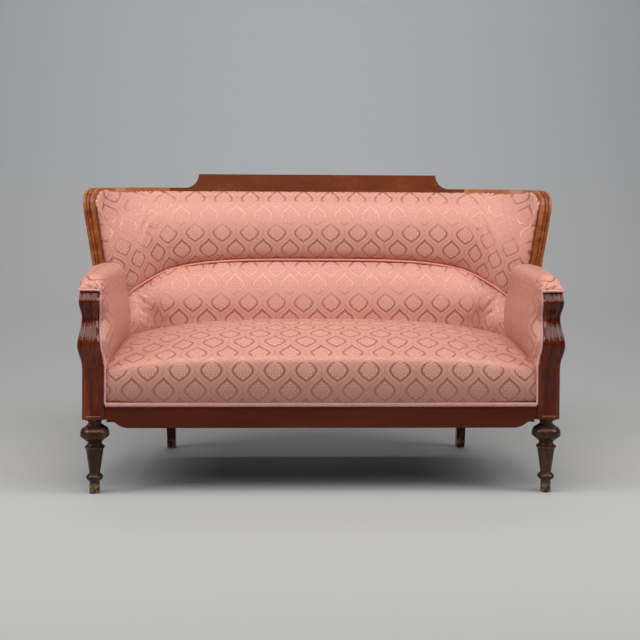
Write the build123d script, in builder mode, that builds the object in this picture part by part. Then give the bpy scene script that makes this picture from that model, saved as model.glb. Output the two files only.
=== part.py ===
import os
from math import acos, cos, degrees, pi, radians, sin, sqrt, tan

from build123d import *

# A settee with a horseshoe back, in millimetres
# X runs along the settee, the front faces -Y, and the floor is Z = 0

# Seat frame
frame_width = 1496
frame_depth = 600
corner_radius = 198
leg_height = 237
rail_rise = 49
rail_thick = 32
side_rail_height = 60
front_rail_setback = 5
ogee_drop = 27
ogee_run = 76
batten_size = 25
block_height = 34
block_reach = 112

# Front posts, from the square block up to the scroll
post_size = 68
post_height = 400
square_height = 161
belly_height = 235
waist_height = 315
roll_height = 368
scroll_lean = 13
belly_width = 68
waist_width = 53
roll_width = 62
belly_forward = 11
waist_back = 17
roll_forward = 3
crown_back = 8
flute_width = 4.5
flute_depth = 3
flute_spread = 13
panel_width = 48
panel_depth = 3
panel_margin = 11

# Turned front legs, from the floor up
foot_radius = 16
foot_height = 38
ring_radius = 26.5
ring_height = 24
shaft_low_radius = 16.5
shaft_high_radius = 27.5
collar_radius = 31.5
collar_height = 10
cove_radius = 22
cove_height = 16
knob_radius = 45.7
knob_under = 18
knob_over = 25
neck_radius = 20.5
bead_radius = 25
bead_height = 6
neck_height = 4
flare_radius = 33.5
flare_height = 14
flare_lip = 4
spigot_radius = 11
spigot_length = 45

# Square rear legs
rear_leg_size = 33
rear_foot_size = 30
rear_leg_inset = 20
rear_leg_kick = 44

# Raked back
back_rake = 9
back_thick = 34
crest_top = 1000
tablet_length = 884
cap_top = 949
cap_height = 19
cap_groove_width = 4
cap_groove_depth = 3
wing_edge = 475
wing_curve = 75
upright_width = 45
lower_rail_height = 40
lower_rail_low = 505
corner_rail_height = 40
wing_post_depth = 40
arm_rail_width = 34
arm_rail_height = 40

# Upholstery
seat_front = 442
seat_crown = 490
seat_side_drop = 38
seat_rear = 478
seat_bulge = 9
seat_back_gap = 95
seat_roll = 30
seat_gap = 8
cavity_margin = 66
cavity_height = 88
lumbar_top = 688
lumbar_arch = 38
lumbar_end = 530
lumbar_low = 390
lumbar_turn = 75
lumbar_bulge = 104
lumbar_lip = 0.45
lumbar_foot = 0.8
lumbar_fade = 0.4
upper_bulge = 62
upper_lip = 8
upper_tuck = 30
upper_foot = 0.5
upper_fade = 0.75
wing_spare = 6
pad_sink = 5
arm_pad_rise = 43
arm_inner = 682
arm_bulge = 9
arm_overhang = 7
arm_lip = 6
arm_tuck = 40
arm_nose = 0.5
arm_steps = 7
piping_radius = 4
piping_bend = 45
piping_sides = 8
braid_height = 15
braid_thick = 4
cloth = 2
hessian = 1.2

# Webbing and springs
web_width = 50
web_thick = 1.6
web_count = 6
web_gap = 18
cross_count = 3
cross_pitch = 150
back_web_count = 3
spring_rows = 2
spring_end_radius = 44
spring_waist_radius = 30
spring_wire = 4
spring_turns = 4
turn_steps = 6

# Fasteners
dowel_radius = 5
dowel_sides = 8
dowel_length = 50
dowel_pitch = 24
screw_head_radius = 4.5
screw_head_height = 3
screw_radius = 2.2
screw_seat = 30
screw_length = 52
fit = 0.1
clearance = 0.3

# Levels and lines that follow from the sizes above
rail_top = leg_height + rail_rise
side_rail_low = rail_top - side_rail_height
front_rail_low = leg_height - ogee_drop
arm_height = leg_height + post_height
fabric_top = cap_top - cap_height
seat_depth = frame_depth - seat_back_gap
rake = tan(radians(back_rake))
depth_over_all = frame_depth + (crest_top - rail_top) * rake
front_y = -(depth_over_all + post_size / 2 - knob_radius) / 2
rear_y = front_y + frame_depth
side_x = frame_width / 2
corner_x = side_x - corner_radius
corner_y = rear_y - corner_radius
post_x = side_x - post_size / 2
post_in_x = side_x - post_size
post_back_y = front_y + post_size
rail_front_y = front_y + front_rail_setback
rail_back_y = rail_front_y + rail_thick
wing_y = front_y + wing_edge
wing_back_y = wing_y + cap_height
far = frame_width
backwards = (0, 1, 0)
sideways = (1, 0, 0)
corner_axis = Axis((corner_x, corner_y, 0), (0, 0, -1))
back_skin = back_thick + web_thick + hessian


def back_radius(z):
    # outer radius of the raked back about the corner axis
    return corner_radius + (z - rail_top) * rake


def side_of_back(y, z, inward):
    # X of the back wall in the right corner, a given depth in from its outer face
    return corner_x + sqrt((back_radius(z) - inward) ** 2 - (y - corner_y) ** 2)


def station(run, turn):
    # upright plane across the back, placed along it and turned into the corner
    a = radians(turn)
    return Plane((run, corner_y, 0), x_dir=(sin(a), cos(a), 0), z_dir=(cos(a), -sin(a), 0))


def upright_plane(y):
    # upright plane facing the front at a given depth
    return Plane((0, y, 0), x_dir=(1, 0, 0), z_dir=(0, -1, 0))


def horseshoe(outside, inside, low, high):
    # raked wall round the back, between two depths in from its outer face
    with BuildPart() as wall:
        with BuildSketch(station(corner_x, 0)) as section:
            with BuildLine():
                Polyline(
                    (back_radius(low) - inside, low),
                    (back_radius(low) - outside, low),
                    (back_radius(high) - outside, high),
                    (back_radius(high) - inside, high),
                    close=True,
                )
            make_face()
        extrude(section.sketch, amount=-corner_x)
        revolve(section.sketch, axis=corner_axis, revolution_arc=90)
        mirror(about=Plane.YZ)
    return wall.part


def wing_outline(inset, low):
    # side view of the back inside its capping: level top, rounded corner, upright front edge
    top = cap_top - inset
    edge = wing_y + inset
    curve = wing_curve - inset
    with BuildSketch(Plane.YZ) as outline:
        with BuildLine():
            Polyline((edge + curve, top), (far, top), (far, low), (edge, low), (edge, top - curve))
            RadiusArc((edge, top - curve), (edge + curve, top), curve)
        make_face()
    return outline.sketch


def dowels(points, along, grow):
    # eight-sided dowels lying along a direction, or the slightly larger holes for them
    with BuildPart() as bars:
        for point in points:
            with BuildSketch(Plane(point, z_dir=along)) as end:
                RegularPolygon(dowel_radius + grow, dowel_sides)
            extrude(end.sketch, amount=dowel_length / 2 + grow, both=True)
    return bars.part


# Front rail, with ogee ends rising to the posts
ogee_mid_x = post_in_x - ogee_run / 2
ogee_mid_z = leg_height - ogee_drop / 2
dowel_levels = [(leg_height + rail_top) / 2 + s * dowel_pitch / 2 for s in (-1, 1)]
rail_mid_y = rail_front_y + rail_thick / 2
front_dowels = [(s * post_in_x, rail_mid_y, z) for s in (-1, 1) for z in dowel_levels]
block_low = rail_top - block_height
screw_x = post_in_x - post_size / 2
screw_y = rail_back_y + screw_seat
screw_z = block_low + block_height / 2
screw_tip_y = screw_y - screw_length
screw_points = [(s * screw_x, screw_z) for s in (-1, 1)]

with BuildPart() as front_rail:
    with BuildSketch(upright_plane(rail_front_y)):
        with BuildLine():
            Polyline(
                (0, front_rail_low),
                (0, rail_top),
                (post_in_x, rail_top),
                (post_in_x, leg_height),
            )
            curl = TangentArc((post_in_x, leg_height), (ogee_mid_x, ogee_mid_z), tangent=(-1, 0))
            TangentArc(curl @ 1, (post_in_x - ogee_run, front_rail_low), tangent=curl % 1)
            Line((post_in_x - ogee_run, front_rail_low), (0, front_rail_low))
        make_face()
        mirror(about=Plane.YZ)
    extrude(amount=rail_thick, dir=backwards)
    add(dowels(front_dowels, sideways, fit), mode=Mode.SUBTRACT)
    with BuildSketch(upright_plane(screw_tip_y)):
        with Locations(*screw_points):
            Circle(screw_radius + fit)
    extrude(amount=screw_length, dir=backwards, mode=Mode.SUBTRACT)


# Front posts: sawn to shape from the front and from the side, then fluted
scroll_levels = [square_height, belly_height, waist_height, roll_height, post_height]
scroll_widths = [post_size, belly_width, waist_width, roll_width, roll_width]
scroll_leans = [0, scroll_lean, scroll_lean, scroll_lean, scroll_lean]
scroll_fronts = [0, -belly_forward, waist_back, -roll_forward, crown_back]


def scroll_line(across):
    # a line up the scroll seen from the front, from its inside edge (-1) to its outside edge (1)
    rows = zip(scroll_levels, scroll_widths, scroll_leans)
    return [(post_x + lean + across * width / 2, leg_height + z) for z, width, lean in rows]


def post_front():
    with BuildSketch(upright_plane(front_y - belly_forward)) as outline:
        with BuildLine():
            inside = Spline(scroll_line(-1), tangents=[(0, 1), (0, 1)])
            outside = Spline(scroll_line(1), tangents=[(0, 1), (0, 1)])
            Line(inside @ 1, outside @ 1)
            Polyline(inside @ 0, (post_in_x, leg_height), (side_x, leg_height), outside @ 0)
        make_face()
    return outline.sketch


def post_side(back):
    with BuildSketch(Plane.YZ.offset(post_x)) as outline:
        with BuildLine():
            rows = zip(scroll_fronts, scroll_levels)
            face = Spline([(front_y + back + d, leg_height + z) for d, z in rows], tangents=[(0, 1), (0, 1)])
            Polyline(
                face @ 1,
                (post_back_y, arm_height),
                (post_back_y, leg_height),
                (front_y + back, leg_height),
                face @ 0,
            )
        make_face()
    return outline.sketch


side_rail_x = side_x - rail_thick / 2
side_dowels = [(side_rail_x, post_back_y, z) for z in dowel_levels]
leg_y = front_y + post_size / 2
flute_edges = [s * flute_spread / (belly_width / 2) for s in (-1, 1)]
flute_share = flute_width / belly_width

with BuildPart() as flutes:
    for edge in flute_edges:
        with BuildSketch(upright_plane(front_y - belly_forward)) as strip:
            with BuildLine():
                near = Spline(scroll_line(edge - flute_share), tangents=[(0, 1), (0, 1)])
                away = Spline(scroll_line(edge + flute_share), tangents=[(0, 1), (0, 1)])
                Line(near @ 0, away @ 0)
                Line(near @ 1, away @ 1)
            make_face()
        extrude(strip.sketch, amount=post_size, dir=backwards)
    extrude(post_side(flute_depth), amount=post_size, both=True, mode=Mode.SUBTRACT)

with BuildPart() as front_post_right:
    extrude(post_front(), amount=post_size + belly_forward, dir=backwards)
    extrude(post_side(0), amount=post_size, both=True, mode=Mode.INTERSECT)
    add(flutes.part, mode=Mode.SUBTRACT)
    with BuildSketch(upright_plane(front_y)):
        with Locations((post_x, leg_height + square_height / 2)):
            Rectangle(panel_width, square_height - 2 * panel_margin)
    extrude(amount=panel_depth, dir=backwards, mode=Mode.SUBTRACT)
    with Locations((post_x, leg_y, leg_height)):
        Cylinder(
            spigot_radius + fit,
            spigot_length + fit,
            align=(Align.CENTER, Align.CENTER, Align.MIN),
            mode=Mode.SUBTRACT,
        )
    add(dowels(front_dowels, sideways, fit), mode=Mode.SUBTRACT)
    add(dowels(side_dowels, backwards, fit), mode=Mode.SUBTRACT)

with BuildPart() as front_post_left:
    mirror(front_post_right.part, about=Plane.YZ)


# Turned front legs with a spigot into the post
ring_z = foot_height
shaft_z = ring_z + ring_height
flare_z = leg_height - flare_lip
neck_z = flare_z - flare_height
bead_z = neck_z - neck_height - bead_height
knob_z = bead_z - knob_over
cove_z = knob_z - knob_under - cove_height
collar_z = cove_z - collar_height

with BuildPart() as front_leg_right:
    with BuildSketch(Plane((post_x, leg_y, 0), x_dir=(1, 0, 0), z_dir=(0, -1, 0))):
        with BuildLine():
            Polyline((0, 0), (foot_radius, 0), (foot_radius, ring_z))
            Bezier(
                (foot_radius, ring_z),
                (2 * ring_radius - foot_radius, ring_z + ring_height / 2),
                (shaft_low_radius, shaft_z),
            )
            Line((shaft_low_radius, shaft_z), (shaft_high_radius, collar_z))
            Polyline(
                (shaft_high_radius, collar_z),
                (collar_radius, collar_z + collar_height / 3),
                (collar_radius, cove_z - collar_height / 3),
                (shaft_high_radius, cove_z),
            )
            Bezier(
                (shaft_high_radius, cove_z),
                (2 * cove_radius - shaft_high_radius, cove_z + cove_height / 2),
                (shaft_high_radius, cove_z + cove_height),
            )
            Polyline(
                (shaft_high_radius, cove_z + cove_height),
                (knob_radius, knob_z - bead_height / 2),
                (knob_radius, knob_z),
            )
            Bezier((knob_radius, knob_z), (knob_radius, bead_z), (bead_radius, bead_z))
            Polyline(
                (bead_radius, bead_z),
                (bead_radius + bead_height / 2, bead_z + bead_height / 2),
                (bead_radius, bead_z + bead_height),
                (neck_radius, bead_z + bead_height),
                (neck_radius, neck_z),
            )
            Bezier((neck_radius, neck_z), (neck_radius, flare_z), (flare_radius, flare_z))
            Polyline(
                (flare_radius, flare_z),
                (flare_radius, leg_height),
                (spigot_radius, leg_height),
                (spigot_radius, leg_height + spigot_length),
                (0, leg_height + spigot_length),
                (0, 0),
            )
        make_face()
    revolve(axis=Axis((post_x, leg_y, 0), (0, 0, 1)))

with BuildPart() as front_leg_left:
    mirror(front_leg_right.part, about=Plane.YZ)


# Side, corner and rear seat rails
side_rail_length = corner_y - post_back_y
corner_dowels = [(side_rail_x, corner_y, z) for z in dowel_levels]
rear_rail_y = rear_y - rail_thick / 2
rear_dowels = [(s * corner_x, rear_rail_y, z) for s in (-1, 1) for z in dowel_levels]

with BuildPart() as side_rail_right:
    with Locations((side_rail_x, post_back_y, side_rail_low)):
        Box(rail_thick, side_rail_length, side_rail_height, align=(Align.CENTER, Align.MIN, Align.MIN))
    add(dowels(side_dowels + corner_dowels, backwards, fit), mode=Mode.SUBTRACT)

with BuildPart() as side_rail_left:
    mirror(side_rail_right.part, about=Plane.YZ)

with BuildPart() as seat_corner_rail_right:
    with BuildSketch(station(corner_x, 0)):
        with Locations((corner_radius - rail_thick / 2, (side_rail_low + rail_top) / 2)):
            Rectangle(rail_thick, side_rail_height)
    revolve(axis=corner_axis, revolution_arc=90)
    add(dowels(corner_dowels, backwards, fit), mode=Mode.SUBTRACT)
    add(dowels(rear_dowels, sideways, fit), mode=Mode.SUBTRACT)

with BuildPart() as seat_corner_rail_left:
    mirror(seat_corner_rail_right.part, about=Plane.YZ)

with BuildPart() as rear_rail:
    with Locations((0, rear_y, side_rail_low)):
        Box(2 * corner_x, rail_thick, side_rail_height, align=(Align.CENTER, Align.MAX, Align.MIN))
    add(dowels(rear_dowels, sideways, fit), mode=Mode.SUBTRACT)

with BuildPart() as rail_dowels:
    add(dowels(side_dowels + corner_dowels, backwards, 0))
    mirror(about=Plane.YZ)
    add(dowels(front_dowels + rear_dowels, sideways, 0))


# Rear legs, raked back below the rail
rear_leg_x = corner_x - rear_leg_inset
rear_leg_y = rear_y - rail_thick
rear_foot_y = rear_leg_y - rear_leg_size / 2 + rear_leg_kick

with BuildPart() as rear_leg_right:
    with BuildSketch(Plane.XY.offset(side_rail_low)) as knee:
        with Locations((rear_leg_x, rear_leg_y - rear_leg_size / 2)):
            Rectangle(rear_leg_size, rear_leg_size)
    with BuildSketch() as foot:
        with Locations((rear_leg_x, rear_foot_y)):
            Rectangle(rear_foot_size, rear_foot_size)
    loft([foot.sketch, knee.sketch], ruled=True)
    extrude(knee.sketch, amount=side_rail_height)

with BuildPart() as rear_leg_left:
    mirror(rear_leg_right.part, about=Plane.YZ)


# Blocks in the front corners, screwed to the front rail
block_x = side_x - rail_thick

with BuildPart() as corner_block_right:
    with BuildSketch(Plane.XY.offset(block_low)):
        with BuildLine():
            Polyline(
                (block_x - block_reach, rail_back_y),
                (post_in_x, rail_back_y),
                (post_in_x, post_back_y),
                (block_x, post_back_y),
                (block_x, rail_back_y + block_reach),
                close=True,
            )
        make_face()
    extrude(amount=block_height)
    with BuildSketch(upright_plane(rail_back_y)):
        with Locations((screw_x, screw_z)):
            Circle(screw_radius + fit)
    extrude(amount=block_reach, dir=backwards, mode=Mode.SUBTRACT)
    with BuildSketch(upright_plane(screw_y)):
        with Locations((screw_x, screw_z)):
            Circle(screw_head_radius + fit)
    extrude(amount=block_reach, dir=backwards, mode=Mode.SUBTRACT)

with BuildPart() as corner_block_left:
    mirror(corner_block_right.part, about=Plane.YZ)

with BuildPart() as block_screws:
    with BuildSketch(upright_plane(screw_y)):
        with Locations(*screw_points):
            Circle(screw_head_radius)
    extrude(amount=screw_head_height, dir=backwards)
    with BuildSketch(upright_plane(screw_tip_y)):
        with Locations(*screw_points):
            Circle(screw_radius)
    extrude(amount=screw_length, dir=backwards)


# Batten behind the front rail, level with the undersides of the other rails
batten_length = 2 * (block_x - block_reach) - 2 * clearance

with BuildPart() as front_batten:
    with Locations((0, rail_back_y, side_rail_low)):
        Box(batten_length, batten_size, batten_size, align=(Align.CENTER, Align.MIN, Align.MIN))


# Webbing under the rails, with the long straps below the short ones
web_z = side_rail_low - web_thick
cross_z = web_z - web_thick
web_length = rear_y - rail_back_y
cross_y = (rail_back_y + rear_y) / 2
web_reach = rear_leg_x - rear_leg_size / 2 - web_gap - web_width / 2
web_xs = [web_reach * (2 * i / (web_count - 1) - 1) for i in range(web_count)]
cross_ys = [cross_y + (i - (cross_count - 1) / 2) * cross_pitch for i in range(cross_count)]

with BuildPart() as seat_webbing:
    with Locations(*[(x, rail_back_y, web_z) for x in web_xs]):
        Box(web_width, web_length, web_thick, align=(Align.CENTER, Align.MIN, Align.MIN))

with BuildPart() as cross_webbing:
    with Locations(*[(0, y, cross_z) for y in cross_ys]):
        Box(frame_width - rail_thick, web_width, web_thick, align=(Align.CENTER, Align.CENTER, Align.MIN))


# Dust cover under the webbing, cut round the legs
cover_z = cross_z - hessian

with BuildPart() as dust_cover:
    with BuildSketch(Plane.XY.offset(cover_z)):
        with BuildLine():
            Polyline(
                (0, rail_back_y),
                (post_in_x, rail_back_y),
                (post_in_x, post_back_y + clearance),
                (block_x, post_back_y + clearance),
                (block_x, corner_y),
            )
            Line((0, rail_back_y), (0, rear_y - rail_thick))
            Line((0, rear_y - rail_thick), (corner_x, rear_y - rail_thick))
            RadiusArc((block_x, corner_y), (corner_x, rear_y - rail_thick), -(corner_radius - rail_thick))
        make_face()
        mirror(about=Plane.YZ)
    extrude(amount=hessian)
    add(rear_leg_right.part, mode=Mode.SUBTRACT)
    add(rear_leg_left.part, mode=Mode.SUBTRACT)


# Seat springs: waisted coils on the webbing
cavity_x = arm_inner - cavity_margin
cavity_y = front_y + cavity_margin
cavity_back_y = front_y + seat_depth - cavity_margin / 2
spring_pitch = (cavity_back_y - cavity_y) / spring_rows
spring_ys = [cavity_y + (i + 0.5) * spring_pitch for i in range(spring_rows)]
coil_room = spring_wire / sqrt(2) + fit
spring_low = side_rail_low + coil_room
hessian_z = rail_top + cavity_height
spring_high = hessian_z - coil_room


def coil_point(step):
    # a waisted helix about the Z axis
    turn = radians(360 * step / turn_steps)
    rise = step / (spring_turns * turn_steps)
    radius = spring_waist_radius + (spring_end_radius - spring_waist_radius) * cos(pi * rise) ** 2
    return Vector(radius * cos(turn), radius * sin(turn), spring_low + rise * (spring_high - spring_low))


coil_path = [coil_point(step) for step in range(spring_turns * turn_steps + 1)]

with BuildPart() as coil:
    with BuildLine():
        Polyline(*coil_path)
    with BuildSketch(Plane(coil_path[0], x_dir=(1, 0, 0), z_dir=coil_path[1] - coil_path[0])):
        Rectangle(spring_wire, spring_wire)
    sweep(transition=Transition.RIGHT)

with BuildPart() as seat_springs:
    with Locations(*[(x, y) for x in web_xs for y in spring_ys]):
        add(coil.part)

with BuildPart() as seat_hessian:
    with Locations((0, cavity_y, hessian_z)):
        Box(2 * cavity_x, cavity_back_y - cavity_y, hessian, align=(Align.CENTER, Align.MIN, Align.MIN))


# Sprung seat pad, crowned, drawn in at its ends, hollow underneath for the springs
seat_half = arm_inner - seat_gap
seat_shares = [-1, -0.9, -0.5, 0, 0.5, 0.9, 1]


def seat_section(share):
    drop = seat_side_drop * share ** 4
    front = front_y + front_rail_setback + drop / 4
    edge_z = seat_front - drop
    crown_z = seat_crown - drop - seat_side_drop / 2 * share ** 2
    rear_z = seat_rear - drop - seat_side_drop / 2 * share ** 2
    with BuildSketch(Plane.YZ.offset(share * seat_half)) as section:
        with BuildLine():
            face = ThreePointArc(
                (front, rail_top),
                (front - seat_bulge, (rail_top + edge_z) / 2),
                (front, edge_z - seat_roll),
            )
            lip = TangentArc(face @ 1, (front + seat_roll, edge_z), tangent=face % 1)
            top = ThreePointArc(
                lip @ 1,
                (front_y + seat_depth / 2, crown_z),
                (front_y + seat_depth, rear_z),
            )
            Polyline(top @ 1, (front_y + seat_depth, rail_top), face @ 0)
        make_face()
    return section.sketch


with BuildPart() as seat_pad:
    loft([seat_section(share) for share in seat_shares])
    with Locations((0, cavity_y, rail_top)):
        Box(
            2 * cavity_x,
            cavity_back_y - cavity_y,
            cavity_height + hessian,
            align=(Align.CENTER, Align.MIN, Align.MIN),
            mode=Mode.SUBTRACT,
        )

with BuildPart() as seat_braid:
    with Locations((0, rail_front_y, rail_top)):
        Box(2 * post_in_x, braid_thick, braid_height, align=(Align.CENTER, Align.MAX, Align.MAX))


# Raked board profile across the straight part of the back
def raked_section(x, outside, inside, low, high):
    with BuildSketch(Plane.YZ.offset(x)) as section:
        with BuildLine():
            Polyline(
                (corner_y + back_radius(low) - inside, low),
                (corner_y + back_radius(low) - outside, low),
                (corner_y + back_radius(high) - outside, high),
                (corner_y + back_radius(high) - inside, high),
                close=True,
            )
        make_face()
    return section.sketch


# Reeds along the top edge of the back
cove = crest_top - cap_top
reed_pitch = back_thick / 3

with BuildPart() as reed_cuts:
    for i in (1, 2):
        middle = i * reed_pitch
        add(horseshoe(middle - cap_groove_width / 2, middle + cap_groove_width / 2, arm_height, cap_top))
    extrude(wing_outline(cap_groove_depth, 0), amount=far, both=True, mode=Mode.SUBTRACT)
    Box(
        tablet_length + 2 * cove,
        far,
        crest_top,
        align=(Align.CENTER, Align.CENTER, Align.MIN),
        mode=Mode.SUBTRACT,
    )


# Crest rail: a raked board with a raised tablet that runs down in coves
with BuildPart() as crest_rail:
    extrude(raked_section(-corner_x, 0, back_thick, fabric_top, crest_top), amount=2 * corner_x)
    with BuildSketch(upright_plane(corner_y)):
        with BuildLine():
            Polyline(
                (0, fabric_top),
                (corner_x, fabric_top),
                (corner_x, cap_top),
                (tablet_length / 2 + cove, cap_top),
            )
            RadiusArc((tablet_length / 2 + cove, cap_top), (tablet_length / 2, crest_top), cove)
            Polyline((tablet_length / 2, crest_top), (0, crest_top), (0, fabric_top))
        make_face()
        mirror(about=Plane.YZ)
    extrude(amount=far, dir=backwards, mode=Mode.INTERSECT)
    add(reed_cuts.part, mode=Mode.SUBTRACT)


# Reeded capping round the wings, from the crest rail down to the arms
with BuildPart() as capping_right:
    add(horseshoe(0, back_thick, arm_height, cap_top))
    extrude(wing_outline(0, arm_height), amount=far, both=True, mode=Mode.INTERSECT)
    extrude(wing_outline(cap_height, 0), amount=far, both=True, mode=Mode.SUBTRACT)
    add(reed_cuts.part, mode=Mode.SUBTRACT)
    split(bisect_by=Plane.YZ.offset(corner_x), keep=Keep.TOP)

with BuildPart() as capping_left:
    mirror(capping_right.part, about=Plane.YZ)


# Back frame: uprights, lower rail, curved top rails and wing posts
corner_rail_low = fabric_top - corner_rail_height
upright_in_x = corner_x - upright_width
lower_rail_top = lower_rail_low + lower_rail_height

with BuildPart() as back_upright_right:
    extrude(raked_section(upright_in_x, cloth, back_thick, rail_top, fabric_top), amount=upright_width)

with BuildPart() as back_upright_left:
    mirror(back_upright_right.part, about=Plane.YZ)

with BuildPart() as back_lower_rail:
    rail_section = raked_section(0, cloth, back_thick, lower_rail_low, lower_rail_top)
    extrude(rail_section, amount=upright_in_x, both=True)

with BuildPart() as back_upright_middle:
    upright_section = raked_section(0, cloth, back_thick, lower_rail_top, fabric_top)
    extrude(upright_section, amount=upright_width / 2, both=True)

with BuildPart() as back_corner_rail_right:
    add(horseshoe(cloth, back_thick, corner_rail_low, fabric_top))
    extrude(wing_outline(cap_height, 0), amount=far, both=True, mode=Mode.INTERSECT)
    split(bisect_by=Plane.YZ.offset(corner_x), keep=Keep.TOP)

with BuildPart() as back_corner_rail_left:
    mirror(back_corner_rail_right.part, about=Plane.YZ)

with BuildPart() as wing_post_right:
    add(horseshoe(cloth, back_thick, rail_top, corner_rail_low))
    extrude(wing_outline(cap_height, 0), amount=far, both=True, mode=Mode.INTERSECT)
    split(bisect_by=Plane.YZ.offset(corner_x), keep=Keep.TOP)
    split(bisect_by=Plane.XZ.offset(-wing_back_y - wing_post_depth), keep=Keep.TOP)

with BuildPart() as wing_post_left:
    mirror(wing_post_right.part, about=Plane.YZ)


# Webbing and hessian on the back frame
back_web_gap = (corner_rail_low - lower_rail_top) / back_web_count
back_web_lows = [lower_rail_top + (i + 0.5) * back_web_gap - web_width / 2 for i in range(back_web_count)]

with BuildPart() as back_webbing:
    for low in back_web_lows:
        add(horseshoe(back_thick, back_thick + web_thick, low, low + web_width))
    extrude(wing_outline(cap_height, 0), amount=far, both=True, mode=Mode.INTERSECT)

with BuildPart() as back_hessian:
    add(horseshoe(back_thick + web_thick, back_skin, lower_rail_low, fabric_top))
    extrude(wing_outline(cap_height, 0), amount=far, both=True, mode=Mode.INTERSECT)


# Arm rails, hessian and outside covers, each following three stations from post to wing
arm_out_x = post_x + scroll_lean + waist_width / 2
arm_rail_low = arm_height - arm_rail_height
post_height_over_rail = arm_height - rail_top
arm_ys = [post_back_y, corner_y, wing_back_y]
rail_outs = [
    side_x - cloth + (arm_out_x - side_x) * (arm_rail_low - rail_top) / post_height_over_rail,
    corner_x + back_radius(arm_rail_low) - cloth,
    side_of_back(wing_back_y, arm_rail_low, cloth),
]
hessian_lows = [block_x, block_x, side_of_back(wing_back_y, rail_top, rail_thick)]


def across_arm(y, points):
    # outline across the right arm, from points given as X and Z
    with BuildSketch(upright_plane(y)) as section:
        with BuildLine():
            Polyline(*points, close=True)
        make_face()
    return section.sketch


def arm_sheet(lows, highs, thick):
    # sheet standing on the rail and leaning out to the arm, or the space outside it
    rows = zip(arm_ys, lows, highs)
    return [
        across_arm(y, [(a, rail_top), (a + thick, rail_top), (b + thick, arm_height), (b, arm_height)])
        for y, a, b in rows
    ]


hessian_highs = [x - arm_rail_width - hessian for x in rail_outs]

with BuildPart() as arm_rail_right:
    loft(
        [
            across_arm(
                y,
                [
                    (x - arm_rail_width, arm_rail_low),
                    (x, arm_rail_low),
                    (x, arm_height),
                    (x - arm_rail_width, arm_height),
                ],
            )
            for y, x in zip(arm_ys, rail_outs)
        ],
        ruled=True,
    )

with BuildPart() as arm_rail_left:
    mirror(arm_rail_right.part, about=Plane.YZ)

with BuildPart() as arm_hessian_right:
    loft(arm_sheet([x - hessian for x in hessian_lows], hessian_highs, hessian), ruled=True)

with BuildPart() as arm_hessian_left:
    mirror(arm_hessian_right.part, about=Plane.YZ)

with BuildPart() as arm_space:
    space_lows = [x - hessian - clearance for x in hessian_lows]
    space_highs = [x - clearance for x in hessian_highs]
    loft(arm_sheet(space_lows, space_highs, far), ruled=True)
    mirror(about=Plane.YZ)

with BuildPart() as outside_arm_cover_right:
    loft(
        [
            across_arm(
                y,
                [(side_x - cloth, rail_top), (side_x, rail_top), (x, arm_height), (x - cloth, arm_height)],
            )
            for y, x in [(post_back_y, arm_out_x), (corner_y, corner_x + back_radius(arm_height))]
        ],
        ruled=True,
    )
    add(horseshoe(0, cloth, rail_top, arm_height))
    split(bisect_by=Plane.YZ, keep=Keep.TOP)
    split(bisect_by=Plane.XZ.offset(-wing_back_y), keep=Keep.TOP)

with BuildPart() as outside_arm_cover_left:
    mirror(outside_arm_cover_right.part, about=Plane.YZ)

with BuildPart() as outside_back_cover:
    add(horseshoe(0, cloth, rail_top, fabric_top))
    extrude(wing_outline(cap_height, 0), amount=far, both=True, mode=Mode.INTERSECT)

# Space taken by the back frame and its hessian, which the stuffing stops at
with BuildPart() as back_space:
    add(horseshoe(-post_size, back_skin + clearance, lumbar_low - post_size, crest_top))


# Lumbar roll: bulges above the seat, arched along its top and falling away into the arms
wing_turn = degrees(acos((wing_back_y - corner_y) / (back_radius(fabric_top) - back_skin))) + wing_spare
run_shares = [i / 5 for i in range(-5, 6)]
turn_shares = [i / 3 for i in range(1, 4)]


def stations(end_turn):
    # share of the way along the straight back and into each corner, from left to right
    corner = [(1, share, station(corner_x, share * end_turn)) for share in turn_shares]
    straight = [(share, 0, station(share * corner_x, 0)) for share in run_shares]
    opposite = [(-1, share, station(-corner_x, -share * end_turn)) for share in reversed(turn_shares)]
    return opposite + straight + corner


def pad_back(z):
    # radius at which a back pad is sunk into the space behind it, before that space is cut away
    return back_radius(z) - back_skin + pad_sink


def lumbar_line(run, turn):
    # height and forward reach of the piped top edge
    top = lumbar_top - lumbar_arch * run ** 4
    return top - (lumbar_top - lumbar_arch - lumbar_end) * turn, lumbar_bulge * (1 - lumbar_fade * turn)


def lumbar_section(run, turn, plane):
    top, bulge = lumbar_line(run, turn)
    middle = (top + lumbar_low) / 2
    with BuildSketch(plane) as section:
        with BuildLine():
            front = ThreePointArc(
                (pad_back(top) - bulge * lumbar_lip, top),
                (pad_back(middle) - bulge, middle),
                (pad_back(lumbar_low) - bulge * lumbar_foot, lumbar_low),
            )
            Polyline(front @ 1, (pad_back(lumbar_low), lumbar_low), (pad_back(top), top), front @ 0)
        make_face()
    return section.sketch


def piping_point(run, turn, plane):
    top, bulge = lumbar_line(run, turn)
    return plane.from_local_coords((pad_back(top) - bulge * lumbar_lip, top))


piping_path = [piping_point(*row) for row in stations(lumbar_turn)[::2]]

with BuildPart() as lumbar_piping:
    with BuildLine() as welt:
        FilletPolyline(*piping_path, radius=piping_bend)
    with BuildSketch(Plane(welt.line @ 0, z_dir=welt.line % 0)):
        RegularPolygon(piping_radius, piping_sides)
    sweep()

with BuildPart() as lumbar_roll:
    loft([lumbar_section(*row) for row in stations(lumbar_turn)])
    for space in (seat_pad, back_space, arm_space, lumbar_piping):
        add(space.part, mode=Mode.SUBTRACT)


# Braid down the inside of each front post
braid_y = front_y + waist_back + fit

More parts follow.
